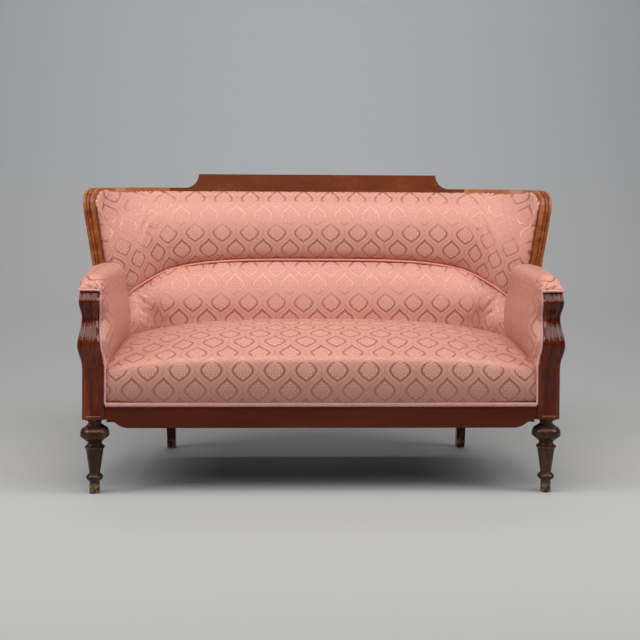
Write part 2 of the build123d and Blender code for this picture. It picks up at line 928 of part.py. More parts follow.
with BuildPart() as post_braid_right:
    with BuildSketch(upright_plane(braid_y)):
        with BuildLine():
            inside = Spline(scroll_line(-1), tangents=[(0, 1), (0, 1)])
            braid_line = [(x - braid_thick, z) for x, z in scroll_line(-1)]
            edge = Spline(braid_line, tangents=[(0, 1), (0, 1)])
            Line(inside @ 1, edge @ 1)
            Polyline(inside @ 0, (post_in_x, rail_top), (post_in_x - braid_thick, rail_top), edge @ 0)
        make_face()
    extrude(amount=braid_height, dir=backwards)

with BuildPart() as post_braid_left:
    mirror(post_braid_right.part, about=Plane.YZ)


# Arm pads: rolled over the arm rail and the top of the post, thicker towards the back
arm_low = rail_top + arm_tuck
post_out_x = post_x + scroll_lean + roll_width / 2
wide_x = corner_x + back_radius(arm_height)
pad_front_y = front_y + crown_back


def arm_outside(y):
    # X of the outer edge of the arm roll
    if y > corner_y:
        return side_of_back(y, arm_height, 0) + arm_overhang
    share = (y - front_y) / (corner_y - front_y)
    return post_out_x + share * (wide_x + arm_overhang - post_out_x)


def arm_section(share):
    y = pad_front_y + share * (wing_y - clearance - pad_front_y)
    outer = arm_outside(y)
    top = arm_height + arm_pad_rise * (1 - arm_nose * (1 - share) ** 12)
    with BuildSketch(upright_plane(y)) as section:
        with BuildLine():
            inner = ThreePointArc(
                (arm_inner + arm_bulge, arm_low),
                (arm_inner - arm_bulge, (arm_low + arm_height) / 2),
                (arm_inner, arm_height),
            )
            crown = ThreePointArc(inner @ 1, ((arm_inner + outer) / 2, top), (outer, arm_height + arm_lip))
            Polyline(crown @ 1, (outer - arm_lip, arm_height - arm_lip), inner @ 0)
        make_face()
    return section.sketch


with BuildPart() as arm_pad_right:
    loft([arm_section(i / arm_steps) for i in range(arm_steps + 1)])
    with Locations((side_x, braid_y + braid_height, arm_height)):
        Box(
            frame_depth,
            frame_depth,
            arm_height,
            align=(Align.CENTER, Align.MAX, Align.MAX),
            mode=Mode.SUBTRACT,
        )
    for space in (arm_space, front_post_right, post_braid_right, seat_pad, lumbar_roll, lumbar_piping):
        add(space.part, mode=Mode.SUBTRACT)

with BuildPart() as arm_pad_left:
    mirror(arm_pad_right.part, about=Plane.YZ)


# Upper back pad: a convex roll under the crest, drawn in at the wings
def upper_section(run, turn, plane):
    low = lumbar_line(run, turn)[0] - upper_tuck
    middle = (fabric_top + low) / 2
    bulge = upper_bulge * (1 - upper_fade * turn ** 3)
    with BuildSketch(plane) as section:
        with BuildLine():
            front = ThreePointArc(
                (pad_back(fabric_top) - upper_lip, fabric_top),
                (pad_back(middle) - bulge, middle),
                (pad_back(low) - bulge * upper_foot, low),
            )
            Polyline(front @ 1, (pad_back(low), low), (pad_back(fabric_top), fabric_top), front @ 0)
        make_face()
    return section.sketch


with BuildPart() as upper_back_pad:
    loft([upper_section(*row) for row in stations(wing_turn)])
    extrude(wing_outline(cap_height, 0), amount=far, both=True, mode=Mode.INTERSECT)
    for space in (back_space, arm_space, lumbar_roll, lumbar_piping, arm_pad_right, arm_pad_left):
        add(space.part, mode=Mode.SUBTRACT)
    for space in (capping_right, capping_left):
        add(space.part, mode=Mode.SUBTRACT)

# Files, one for each piece
pieces = {
    "front_rail": front_rail,
    "front_post_left": front_post_left,
    "front_post_right": front_post_right,
    "front_leg_left": front_leg_left,
    "front_leg_right": front_leg_right,
    "rear_leg_left": rear_leg_left,
    "rear_leg_right": rear_leg_right,
    "side_rail_left": side_rail_left,
    "side_rail_right": side_rail_right,
    "seat_corner_rail_left": seat_corner_rail_left,
    "seat_corner_rail_right": seat_corner_rail_right,
    "rear_rail": rear_rail,
    "front_batten": front_batten,
    "corner_block_left": corner_block_left,
    "corner_block_right": corner_block_right,
    "rail_dowels": rail_dowels,
    "block_screws": block_screws,
    "seat_webbing": seat_webbing,
    "cross_webbing": cross_webbing,
    "dust_cover": dust_cover,
    "seat_springs": seat_springs,
    "seat_hessian": seat_hessian,
    "seat_pad": seat_pad,
    "seat_braid": seat_braid,
    "post_braid_left": post_braid_left,
    "post_braid_right": post_braid_right,
    "crest_rail": crest_rail,
    "capping_left": capping_left,
    "capping_right": capping_right,
    "back_upright_left": back_upright_left,
    "back_upright_right": back_upright_right,
    "back_upright_middle": back_upright_middle,
    "back_lower_rail": back_lower_rail,
    "back_corner_rail_left": back_corner_rail_left,
    "back_corner_rail_right": back_corner_rail_right,
    "wing_post_left": wing_post_left,
    "wing_post_right": wing_post_right,
    "back_webbing": back_webbing,
    "back_hessian": back_hessian,
    "arm_rail_left": arm_rail_left,
    "arm_rail_right": arm_rail_right,
    "arm_hessian_left": arm_hessian_left,
    "arm_hessian_right": arm_hessian_right,
    "arm_pad_left": arm_pad_left,
    "arm_pad_right": arm_pad_right,
    "lumbar_roll": lumbar_roll,
    "lumbar_piping": lumbar_piping,
    "upper_back_pad": upper_back_pad,
    "outside_back_cover": outside_back_cover,
    "outside_arm_cover_left": outside_arm_cover_left,
    "outside_arm_cover_right": outside_arm_cover_right,
}
os.makedirs("parts", exist_ok=True)
for name, piece in pieces.items():
    piece.part.label = name
    export_step(piece.part, f"parts/{name}.step")
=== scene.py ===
import math

import bmesh
import bpy
import numpy as np
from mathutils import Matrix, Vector


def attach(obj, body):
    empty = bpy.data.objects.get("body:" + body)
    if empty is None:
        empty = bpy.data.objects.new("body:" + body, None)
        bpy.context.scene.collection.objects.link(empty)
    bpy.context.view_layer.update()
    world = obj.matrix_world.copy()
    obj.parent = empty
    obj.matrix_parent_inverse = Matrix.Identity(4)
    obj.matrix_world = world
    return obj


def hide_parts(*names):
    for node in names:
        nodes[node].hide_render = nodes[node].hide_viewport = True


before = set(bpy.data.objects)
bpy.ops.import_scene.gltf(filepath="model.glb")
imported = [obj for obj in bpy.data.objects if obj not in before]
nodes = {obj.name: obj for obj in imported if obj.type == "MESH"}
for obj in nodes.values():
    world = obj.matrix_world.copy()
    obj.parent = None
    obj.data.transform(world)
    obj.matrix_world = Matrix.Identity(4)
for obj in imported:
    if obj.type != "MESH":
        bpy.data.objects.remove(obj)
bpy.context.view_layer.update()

# levels and lines of the settee in metres, the same as in the solids
settee = {
    "frontY": -0.3507, "cornerX": 0.55, "cornerY": 0.0513, "cornerRadius": 0.198, "railTop": 0.286,
    "armHeight": 0.637, "rake": math.tan(math.radians(9)), "backSkin": 0.0368,
}
# points of a solid nearer to each other than this are one point
sameSpot = 0.00002


# helpers that several pieces use
def deselectAll():
    if bpy.context.object and bpy.context.object.mode != "OBJECT":
        bpy.ops.object.mode_set(mode="OBJECT")
    bpy.ops.object.select_all(action="DESELECT")


def pick(piece):
    deselectAll()
    bpy.context.view_layer.objects.active = piece
    piece.select_set(True)


def newPiece(name, data):
    piece = bpy.data.objects.new(name, data)
    bpy.context.scene.collection.objects.link(piece)
    return piece


def copyOfNode(node, name):
    # a merged copy of a solid, ready to be worked on
    piece = newPiece(name, nodes[node].data.copy())
    pick(piece)
    bpy.ops.object.mode_set(mode="EDIT")
    bpy.ops.mesh.select_all(action="SELECT")
    bpy.ops.mesh.remove_doubles(threshold=sameSpot)
    bpy.ops.object.mode_set(mode="OBJECT")
    piece.data.materials.clear()
    return piece


def applyAll(piece):
    pick(piece)
    for name in [m.name for m in piece.modifiers]:
        bpy.ops.object.modifier_apply(modifier=name)


def smoothEdges(piece, crease):
    # smooth shading, but edges bent by more than the crease stay sharp
    pick(piece)
    bpy.ops.object.shade_smooth_by_angle(angle=math.radians(crease))


def pointsOf(piece):
    co = np.zeros(len(piece.data.vertices) * 3)
    piece.data.vertices.foreach_get("co", co)
    return co.reshape(-1, 3)


def movePoints(piece, co):
    piece.data.vertices.foreach_set("co", co.astype(np.float32).ravel())
    piece.data.update()


def normalsOf(piece):
    n = np.zeros(len(piece.data.vertices) * 3)
    piece.data.vertices.foreach_get("normal", n)
    return n.reshape(-1, 3)


def layCloth(piece, place):
    # writes the cloth's own directions to the UV map, in metres along weft and warp
    layer = piece.data.uv_layers.get("cloth") or piece.data.uv_layers.new(name="cloth")
    index = np.zeros(len(piece.data.loops), int)
    piece.data.loops.foreach_get("vertex_index", index)
    layer.data.foreach_set("uv", place[index].astype(np.float32).ravel())


def finishPiece(piece, material, slot, *stoodFor):
    if not piece.data.materials:
        piece.data.materials.append(material)
    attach(piece, "root")
    if stoodFor:
        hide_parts(*stoodFor)


def eased(levels, values, where):
    # values given at some levels, with a level tangent at each
    step = np.clip(np.searchsorted(levels, where) - 1, 0, len(levels) - 2)
    low, high = np.take(levels, step), np.take(levels, step + 1)
    share = (1 - np.cos(math.pi * np.clip((where - low) / (high - low), 0, 1))) / 2
    return np.take(values, step) * (1 - share) + np.take(values, step + 1) * share


def smoothShare(low, high, where):
    share = np.clip((where - low) / (high - low), 0, 1)
    return share * share * (3 - 2 * share)


def mirrored(points, side):
    return points * np.array([side, 1, 1])


def roundOff(line, times):
    # evens out the bends of a line between its two ends
    for step in range(times):
        line[1:-1] = (line[:-2] + 2 * line[1:-1] + line[2:]) / 4
    return line


def ringMesh(name, rings):
    # a closed skin through rings of points, capped at both ends
    rows, columns = rings.shape[:2]
    index = np.arange(rows * columns).reshape(rows, columns)
    ahead = np.roll(index, -1, axis=1)
    faces = np.stack([index[:-1], ahead[:-1], ahead[1:], index[1:]], -1).reshape(-1, 4).tolist()
    faces += [index[0].tolist()[::-1], index[-1].tolist()]
    mesh = bpy.data.meshes.new(name)
    mesh.from_pydata(rings.reshape(-1, 3).tolist(), [], faces)
    piece = newPiece(name, mesh)
    pick(piece)
    bpy.ops.object.mode_set(mode="EDIT")
    bpy.ops.mesh.select_all(action="SELECT")
    bpy.ops.mesh.normals_make_consistent(inside=False)
    bpy.ops.object.mode_set(mode="OBJECT")
    return piece


def strandPiece(name, routes, thick, sides):
    # round strands along smooth lines, made a mesh
    curve = bpy.data.curves.new(name, "CURVE")
    curve.dimensions = "3D"
    curve.bevel_depth = thick / 2
    curve.bevel_resolution = sides
    curve.use_fill_caps = True
    curve.resolution_u = 1
    for route in routes:
        spline = curve.splines.new("POLY")
        spline.points.add(len(route) - 1)
        spline.points.foreach_set("co", np.column_stack([route, np.ones(len(route))]).ravel())
    pick(newPiece(name, curve))
    bpy.ops.object.convert(target="MESH")
    piece = bpy.context.object
    bpy.ops.object.shade_smooth()
    return piece


def evenly(route, gap):
    # the same line with points at an even distance, their directions and their places along it
    route = np.asarray(route, float)
    lengths = np.concatenate([[0], np.cumsum(np.linalg.norm(np.diff(route, axis=0), axis=1))])
    where = np.linspace(0, lengths[-1], int(lengths[-1] / gap) + 1)
    points = np.stack([np.interp(where, lengths, route[:, i]) for i in range(3)], 1)
    ways = np.gradient(points, axis=0)
    return points, ways / np.linalg.norm(ways, axis=1, keepdims=True), where


# camera: place in metres, angles in degrees, lens and sensor in millimetres
cameraPlace = {
    "x": -0.1207, "y": -3.7486, "z": 1.0205, "lens": 61.37, "sensor": 36, "shift": -0.2,
    "pitch": 1.187, "turn": 1.826, "roll": 0.362,
}
cameraData = bpy.data.cameras.new("camera")
cameraData.lens = cameraPlace["lens"]
cameraData.sensor_width = cameraPlace["sensor"]
cameraData.shift_y = cameraPlace["shift"]
camera = newPiece("camera", cameraData)
camera.location = (cameraPlace["x"], cameraPlace["y"], cameraPlace["z"])
camera.rotation_euler = (math.radians(90 - cameraPlace["pitch"]), -math.radians(cameraPlace["roll"]),
                         -math.radians(cameraPlace["turn"]))
bpy.context.scene.camera = camera
bpy.context.scene.view_settings.view_transform = "Standard"
print("camera set")


# nodes that the materials are built from
def newMaterial(name):
    material = bpy.data.materials.new(name)
    material.use_nodes = True
    tree = material.node_tree
    shader = tree.nodes["Principled BSDF"]
    return material, tree, shader


def addNode(tree, kind, **settings):
    node = tree.nodes.new(kind)
    for key, value in settings.items():
        setattr(node, key, value)
    return node


def feed(tree, node, values):
    # an input takes the output of another node, a colour or a number
    for key, value in values.items():
        socket = node.inputs[key]
        if isinstance(value, bpy.types.NodeSocket):
            tree.links.new(value, socket)
        elif socket.type == "RGBA":
            socket.default_value = (*value, 1)
        else:
            socket.default_value = value


def sumOf(tree, operation, *values):
    node = addNode(tree, "ShaderNodeMath", operation=operation)
    feed(tree, node, dict(enumerate(values)))
    return node.outputs[0]


def softStep(tree, value, low, high, outLow=0.0, outHigh=1.0):
    node = addNode(tree, "ShaderNodeMapRange", interpolation_type="SMOOTHSTEP")
    feed(tree, node, {"Value": value, "From Min": low, "From Max": high, "To Min": outLow, "To Max": outHigh})
    return node.outputs["Result"]


def mixColours(tree, share, a, b):
    # sockets 0, 6 and 7 are the share and the two colours of a mix node, output 2 is its colour
    node = addNode(tree, "ShaderNodeMix", data_type="RGBA")
    feed(tree, node, {0: share, 6: a, 7: b})
    return node.outputs[2]


def ramp(tree, value, stops):
    node = addNode(tree, "ShaderNodeValToRGB")
    feed(tree, node, {0: value})
    while len(node.color_ramp.elements) < len(stops):
        node.color_ramp.elements.new(0.5)
    for element, (place, colour) in zip(node.color_ramp.elements, stops):
        element.position = place
        element.color = (*colour, 1)
    return node.outputs[0]


def placeOf(tree, scale=(1, 1, 1)):
    where = addNode(tree, "ShaderNodeTexCoord")
    mapping = addNode(tree, "ShaderNodeMapping")
    feed(tree, mapping, {"Vector": where.outputs["Object"], "Scale": scale})
    return mapping.outputs["Vector"]


def noise(tree, vector, scale, detail=3.0, roughness=0.55, distortion=0.0):
    node = addNode(tree, "ShaderNodeTexNoise")
    feed(tree, node, {"Vector": vector, "Scale": scale, "Detail": detail, "Roughness": roughness,
                      "Distortion": distortion})
    return node.outputs["Fac"]


def bumpInto(tree, shader, height, strength, distance):
    bump = addNode(tree, "ShaderNodeBump")
    feed(tree, bump, {"Strength": strength, "Distance": distance, "Height": height})
    feed(tree, shader, {"Normal": bump.outputs["Normal"]})


# polished wood: a broad figure under fine grain, dark blotches, edges rubbed paler by use, worn feet
woodLook = {
    "fine": 9, "fineShare": 0.22, "broadShare": 0.78, "stops": (0.36, 0.5, 0.64),
    "blotches": 5.0, "blotchFrom": (0.42, 0.7), "blotchMost": 0.45, "rubbedFrom": (0.53, 0.62),
    "rubbedMost": 0.5, "scuffs": 55.0, "scuffFrom": (0.40, 0.58), "bareUpTo": (0.022, 0.040),
    "roughFrom": (0.3, 0.8), "roughMore": 0.14, "specular": 0.08, "coatRough": 0.08, "bump": (0.04, 0.0006),
}
woods = {
    "mahoganyRail": {
        "grain": (2.2, 26, 26), "dark": (0.032, 0.004, 0.0015), "mid": (0.068, 0.009, 0.003),
        "light": (0.130, 0.024, 0.008), "rough": 0.32, "coat": 0.08},
    "mahoganyPost": {
        "grain": (26, 26, 3.0), "dark": (0.054, 0.007, 0.0015), "mid": (0.112, 0.014, 0.0035),
        "light": (0.200, 0.038, 0.011), "rough": 0.24, "coat": 0.46},
    "mahoganyCrest": {
        "grain": (7, 18, 14), "dark": (0.036, 0.006, 0.002), "mid": (0.082, 0.014, 0.0045),
        "light": (0.190, 0.048, 0.015), "rough": 0.30, "coat": 0.10},
    "mahoganyCapping": {
        "grain": (9, 9, 9), "dark": (0.100, 0.022, 0.007), "mid": (0.225, 0.058, 0.018),
        "light": (0.470, 0.170, 0.060), "rough": 0.27, "coat": 0.22},
    "darkMahogany": {
        "grain": (24, 24, 5), "dark": (0.026, 0.009, 0.005), "mid": (0.052, 0.017, 0.009),
        "light": (0.110, 0.042, 0.021), "rough": 0.34, "coat": 0.40, "worn": (0.32, 0.20, 0.105)},
    "stainedBeech": {
        "grain": (9, 9, 16), "dark": (0.030, 0.006, 0.002), "mid": (0.060, 0.013, 0.005),
        "light": (0.105, 0.028, 0.011), "rough": 0.42, "coat": 0.12},
    "frameBeech": {
        "grain": (10, 10, 10), "dark": (0.30, 0.18, 0.09), "mid": (0.42, 0.27, 0.15),
        "light": (0.52, 0.36, 0.21), "rough": 0.6, "coat": 0.0},
}


def polishedWood(name, look):
    every = woodLook
    material, tree, shader = newMaterial(name)
    broad = noise(tree, placeOf(tree, look["grain"]), 1.0, 4.0, 0.6, 0.4)
    fine = noise(tree, placeOf(tree, tuple(g * every["fine"] for g in look["grain"])), 1.0, 2.0, 0.6)
    blotch = noise(tree, placeOf(tree), every["blotches"])
    figure = sumOf(tree, "MULTIPLY_ADD", fine, every["fineShare"],
                   sumOf(tree, "MULTIPLY", broad, every["broadShare"]))
    colour = ramp(tree, figure, list(zip(every["stops"], (look["dark"], look["mid"], look["light"]))))
    blotched = softStep(tree, blotch, *every["blotchFrom"], 0.0, every["blotchMost"])
    colour = mixColours(tree, blotched, colour, look["dark"])
    shape = addNode(tree, "ShaderNodeNewGeometry")
    rubbed = softStep(tree, shape.outputs["Pointiness"], *every["rubbedFrom"], 0.0, every["rubbedMost"])
    colour = mixColours(tree, rubbed, colour, look["light"])
    if "worn" in look:
        up = addNode(tree, "ShaderNodeSeparateXYZ")
        feed(tree, up, {0: placeOf(tree)})
        scuffs = noise(tree, placeOf(tree), every["scuffs"], 4.0, 0.7)
        bare = sumOf(tree, "MULTIPLY", softStep(tree, up.outputs["Z"], *every["bareUpTo"], 1.0, 0.0),
                     softStep(tree, scuffs, *every["scuffFrom"]))
        colour = mixColours(tree, bare, colour, look["worn"])
    rough = softStep(tree, fine, *every["roughFrom"], look["rough"], look["rough"] + every["roughMore"])
    feed(tree, shader, {"Base Color": colour, "Roughness": rough, "Specular IOR Level": every["specular"],
                        "Coat Weight": look["coat"], "Coat Roughness": every["coatRough"]})
    bumpInto(tree, shader, fine, *every["bump"])
    return material


wood = {name: polishedWood(name, look) for name, look in woods.items()}
print("wood ready")


# damask: an ogee lattice with a rosette in each medallion. across and along are one repeat in metres,
# the lengths after them are shares of a repeat
damaskLook = {
    "across": 0.0985, "along": 0.127, "half": 0.345, "tip": 0.375, "foot": 0.285,
    "swayScale": 9.0, "sway": 0.06, "wave": 0.25, "steep": 1.25, "outlineWide": 0.056, "outlineSoft": 0.008,
    "ringGap": 0.112, "petals": 8, "fleckFrom": (0.02, 0.35), "fleckDepth": (0.066, 0.084),
    "ribbons": ((0.022, 0.045), (0.068, 0.088)), "ribbonSoft": 0.005, "ribbonShare": 0.55,
    "edgeFrom": (0.004, 0.014), "edgeShare": 0.4, "insideFrom": (0.05, 0.07), "insideShare": 0.20,
    "ribScale": 330.0, "ribBend": 0.6, "ribHigh": 0.22, "slubScale": 260.0, "slubFrom": (0.35, 0.75),
    "slubShare": 0.16, "fadeScale": 3.5, "fadeFrom": (0.45, 0.75), "fadeShare": 0.2,
    "metal": 0.06, "satinMetal": 0.52, "rough": 0.47, "figureRough": 0.10, "satinRough": -0.15,
    "specular": 0.32, "sheen": 0.04, "sheenRough": 0.38, "sheenTint": (1.0, 0.80, 0.72), "bump": (0.22, 0.0008),
    "ground": (0.530, 0.240, 0.178), "figure": (0.660, 0.350, 0.275), "outline": (0.455, 0.188, 0.138),
    "faded": (0.62, 0.335, 0.262),
}


def damaskCloth(name, look):
    material, tree, shader = newMaterial(name)

    def calc(operation, *values):
        return sumOf(tree, operation, *values)

    uv = addNode(tree, "ShaderNodeUVMap", uv_map="cloth")
    split = addNode(tree, "ShaderNodeSeparateXYZ")
    feed(tree, split, {0: uv.outputs["UV"]})
    # threads are never quite straight
    sway = noise(tree, uv.outputs["UV"], look["swayScale"], 2.0)
    u = calc("MULTIPLY_ADD", split.outputs["X"], 1 / look["across"], calc("MULTIPLY", sway, look["sway"]))
    v = calc("MULTIPLY", split.outputs["Y"], 1 / look["along"])
    x = calc("PINGPONG", u, 0.5)
    turn = calc("MULTIPLY", v, 2 * math.pi)
    line = calc("SUBTRACT", x, calc("MULTIPLY_ADD", calc("COSINE", turn), look["wave"], look["wave"]))
    slope = calc("MULTIPLY", calc("SINE", turn), look["steep"])
    away = calc("DIVIDE", calc("ABSOLUTE", line), calc("SQRT", calc("MULTIPLY_ADD", slope, slope, 1.0)))

    # place inside each medallion, up from its middle
    odd = calc("GREATER_THAN", line, 0.0)
    localX = calc("ADD", calc("MULTIPLY", calc("SUBTRACT", 0.5, x), odd),
                  calc("MULTIPLY", x, calc("SUBTRACT", 1.0, odd)))
    shifted = calc("MULTIPLY_ADD", odd, 0.5, v)
    localY = calc("SUBTRACT", shifted, calc("ROUND", shifted))
    above = calc("MINIMUM", calc("MAXIMUM", calc("DIVIDE", localY, look["tip"]), 0.0), 1.0)
    below = calc("MINIMUM", calc("MAXIMUM", calc("DIVIDE", localY, -look["foot"]), 0.0), 1.0)
    # half width: an ogee point above, a rounder one below
    dome = calc("MULTIPLY_ADD", calc("COSINE", calc("MULTIPLY", above, math.pi)), 0.5, 0.5)
    bowl = calc("COSINE", calc("MULTIPLY", below, math.pi / 2))
    half = calc("MULTIPLY", calc("MULTIPLY", dome, bowl), look["half"])
    lean = calc("MULTIPLY_ADD", calc("SINE", calc("MULTIPLY", above, math.pi)), 1.0,
                calc("SINE", calc("MULTIPLY", below, math.pi / 2)))
    depth = calc("DIVIDE", calc("SUBTRACT", half, localX),
                 calc("SQRT", calc("MULTIPLY_ADD", lean, lean, 1.0)))

    def band(value, low, high, soft):
        return calc("MULTIPLY", softStep(tree, value, low - soft, low + soft),
                    softStep(tree, value, high - soft, high + soft, 1.0, 0.0))

    tall = calc("MULTIPLY", localY, look["along"] / look["across"])
    radius = calc("SQRT", calc("MULTIPLY_ADD", localX, localX, calc("MULTIPLY", tall, tall)))
    angle = calc("ARCTAN2", tall, localX)
    rings = calc("COSINE", calc("MULTIPLY", radius, 2 * math.pi / look["ringGap"]))
    petals = calc("COSINE", calc("MULTIPLY", angle, look["petals"]))
    flecks = calc("MULTIPLY", softStep(tree, calc("MULTIPLY", rings, petals), *look["fleckFrom"]),
                  softStep(tree, depth, *look["fleckDepth"]))
    outline = band(depth, 0.0, look["outlineWide"], look["outlineSoft"])
    ribbon = calc("MAXIMUM", *[band(away, low, high, look["ribbonSoft"]) for low, high in look["ribbons"]])
    figure = calc("MAXIMUM", flecks, calc("MULTIPLY", ribbon, look["ribbonShare"]))
    edge = calc("MULTIPLY", softStep(tree, away, *look["edgeFrom"], 1.0, 0.0), look["edgeShare"])
    satin = calc("MAXIMUM", outline, edge)

    # weave: fine ribs across the satin ground
    ribs = addNode(tree, "ShaderNodeTexWave", bands_direction="Y")
    feed(tree, ribs, {"Vector": uv.outputs["UV"], "Scale": look["ribScale"], "Distortion": look["ribBend"]})
    slub = noise(tree, uv.outputs["UV"], look["slubScale"], 2.0)
    faded = noise(tree, placeOf(tree), look["fadeScale"])

    inside = calc("MULTIPLY", softStep(tree, depth, *look["insideFrom"]), look["insideShare"])
    colour = mixColours(tree, inside, look["ground"], look["outline"])
    colour = mixColours(tree, figure, colour, look["figure"])
    colour = mixColours(tree, satin, colour, look["outline"])
    slubbed = softStep(tree, slub, *look["slubFrom"], 0.0, look["slubShare"])
    colour = mixColours(tree, slubbed, colour, look["outline"])
    bleached = softStep(tree, faded, *look["fadeFrom"], 0.0, look["fadeShare"])
    colour = mixColours(tree, bleached, colour, look["faded"])
    # satin threads throw light back like a mirror, the flecks are dull
    metal = calc("MULTIPLY_ADD", satin, look["satinMetal"], look["metal"])
    dull = calc("MULTIPLY_ADD", figure, look["figureRough"], look["rough"])
    rough = calc("MULTIPLY_ADD", satin, look["satinRough"], dull)
    feed(tree, shader, {"Base Color": colour, "Metallic": metal, "Roughness": rough,
                        "Specular IOR Level": look["specular"], "Sheen Weight": look["sheen"],
                        "Sheen Roughness": look["sheenRough"], "Sheen Tint": look["sheenTint"]})
    height = calc("MULTIPLY_ADD", calc("MAXIMUM", satin, figure), 1.0,
                  calc("MULTIPLY", ribs.outputs["Fac"], look["ribHigh"]))
    bumpInto(tree, shader, height, *look["bump"])
    return material


damask = damaskCloth("damask", damaskLook)

# plain woven stuffs, for the trimmings and the inside, each with a pale and a dark colour; the dark is painted
# shade where the threads dip
weaveLook = {"bend": 1.2, "deep": 0.5, "paleFrom": (0.2, 0.9), "bump": (0.35, 0.0008)}
weaves = {
    "pipingCloth": {"pale": (0.70, 0.235, 0.180), "dark": (0.50, 0.135, 0.100), "threads": 160.0,
                    "rough": 0.55, "sheen": 0.2},
    "gimpBraid": {"pale": (0.76, 0.385, 0.365), "dark": (0.50, 0.205, 0.190), "threads": 75.0,
                  "rough": 0.7, "sheen": 0.25},
    "juteWeb": {"pale": (0.42, 0.31, 0.18), "dark": (0.22, 0.15, 0.08), "threads": 120.0,
                "rough": 0.85, "sheen": 0.1},
    "hessian": {"pale": (0.38, 0.28, 0.16), "dark": (0.18, 0.12, 0.06), "threads": 90.0,
                "rough": 0.9, "sheen": 0.1},
    "blackCotton": {"pale": (0.030, 0.030, 0.030), "dark": (0.012, 0.012, 0.012), "threads": 200.0,
                    "rough": 0.9, "sheen": 0.1},
}


def wovenStuff(name, look):
    every = weaveLook
    material, tree, shader = newMaterial(name)
    place = placeOf(tree)
    threads = []
    for way in "XYZ":
        wave = addNode(tree, "ShaderNodeTexWave", bands_direction=way)
        feed(tree, wave, {"Vector": place, "Scale": look["threads"], "Distortion": every["bend"]})
        threads.append(wave.outputs["Fac"])
    warp = sumOf(tree, "MULTIPLY_ADD", threads[0], every["deep"], 1 - every["deep"])
    weft = sumOf(tree, "MULTIPLY_ADD", sumOf(tree, "MAXIMUM", threads[1], threads[2]),
                 every["deep"], 1 - every["deep"])
    weave = sumOf(tree, "MULTIPLY", warp, weft)
    # painted shade: the colour goes dark where the threads dip, as shade falls between them, and pale on their
    # tops
    colour = mixColours(tree, softStep(tree, weave, *every["paleFrom"]), look["dark"], look["pale"])
    feed(tree, shader, {"Base Color": colour, "Roughness": look["rough"], "Sheen Weight": look["sheen"]})
    bumpInto(tree, shader, weave, *every["bump"])
    return material


woven = {name: wovenStuff(name, look) for name, look in weaves.items()}

steelLook = {
    "speckles": 120.0, "roughFrom": (0.3, 0.7), "rough": (0.3, 0.55), "metal": 0.9,
    "stops": [(0.35, (0.30, 0.28, 0.26)), (0.6, (0.42, 0.41, 0.40)), (0.75, (0.25, 0.16, 0.10))],
}


def springSteel(look):
    material, tree, shader = newMaterial("springSteel")
    speckle = noise(tree, placeOf(tree), look["speckles"])
    rough = softStep(tree, speckle, *look["roughFrom"], *look["rough"])
    feed(tree, shader, {"Base Color": ramp(tree, speckle, look["stops"]), "Roughness": rough,
                        "Metallic": look["metal"]})
    return material


steel = springSteel(steelLook)
print("cloth and trimmings ready")


# solids that keep their own shape
def dress(material, *names):
    for name in names:
        mesh = nodes[name].data
        mesh.materials.clear()
        mesh.materials.append(material)


dress(wood["mahoganyRail"], "front_rail")
dress(wood["mahoganyCrest"], "crest_rail")
dress(wood["mahoganyCapping"], "capping_left", "capping_right")
dress(wood["darkMahogany"], "rear_leg_left", "rear_leg_right")
# the covers stop at the top of these rails, so their beech is stained to match the mahogany
dress(wood["stainedBeech"], "side_rail_left", "side_rail_right", "seat_corner_rail_left",
      "seat_corner_rail_right", "rear_rail")
dress(wood["frameBeech"], "front_batten", "corner_block_left", "corner_block_right", "rail_dowels",
      "back_upright_left", "back_upright_right", "back_upright_middle", "back_lower_rail",
      "back_corner_rail_left", "back_corner_rail_right", "wing_post_left", "wing_post_right",
      "arm_rail_left", "arm_rail_right")
dress(steel, "block_screws", "seat_springs")
print("solids dressed")

# turned legs, with the solids' facets smoothed
legLook = {"crease": 32}
for word in ("Left", "Right"):
    legNode = "front_leg_" + word.lower()
    leg = copyOfNode(legNode, "turnedLeg" + word)
    smoothEdges(leg, legLook["crease"])
    finishPiece(leg, wood["darkMahogany"], "dark_mahogany", legNode)

# front posts: a square block with a sunk panel, and a reeded scroll above it. Each reed has its place and
# half width as shares of the scroll's width, and its height
postLook = {
    "x": 0.714, "size": 0.068, "low": 0.237, "backY": -0.2827, "overlap": 0.001,
    "levels": (0.398, 0.472, 0.552, 0.605, 0.637), "widths": (0.068, 0.068, 0.053, 0.062, 0.062),
    "leans": (0.0, 0.013, 0.013, 0.013, 0.013), "fronts": (0.0, -0.014, 0.021, -0.006, 0.010),
    "border": 0.0085, "slope": 0.0028, "sunk": 0.003, "worn": 0.0011, "wornSteps": 3, "crease": 38,
    "reeds": ((0.085, 0.072, 0.0028), (0.375, 0.190, 0.0046), (0.665, 0.072, 0.0028)), "groove": 0.0038,
    "side": (0.76, 0.012), "sidePower": 1.3, "reedsFade": (0.404, 0.432), "rows": 90, "columns": 72,
}


def scrollRings():
    look = postLook
    z = np.linspace(look["levels"][0] - look["overlap"], look["levels"][-1], look["rows"])
    across = np.linspace(0, 1, look["columns"])
    width = eased(look["levels"], look["widths"], z)
    middle = look["x"] + eased(look["levels"], look["leans"], z)
    front = settee["frontY"] + eased(look["levels"], look["fronts"], z)
    reed = np.zeros_like(across)
    for place, half, high in look["reeds"]:
        reed = np.maximum(reed, high * np.sqrt(np.maximum(0, 1 - ((across - place) / half) ** 2)))
    start, fall = look["side"]
    carved = look["groove"] - reed + fall * np.clip((across - start) / (1 - start), 0, 1) ** look["sidePower"]
    shown = smoothShare(*look["reedsFade"], z)
    x = middle[:, None] + (0.5 - across[None, :]) * width[:, None]
    y = front[:, None] + shown[:, None] * carved[None, :]
    rows = np.stack([x, y, np.repeat(z[:, None], len(across), 1)], -1)
    back = [np.stack([x[:, i], np.full_like(z, look["backY"]), z], -1)[:, None] for i in (-1, 0)]
    return np.concatenate([rows, *back], 1)


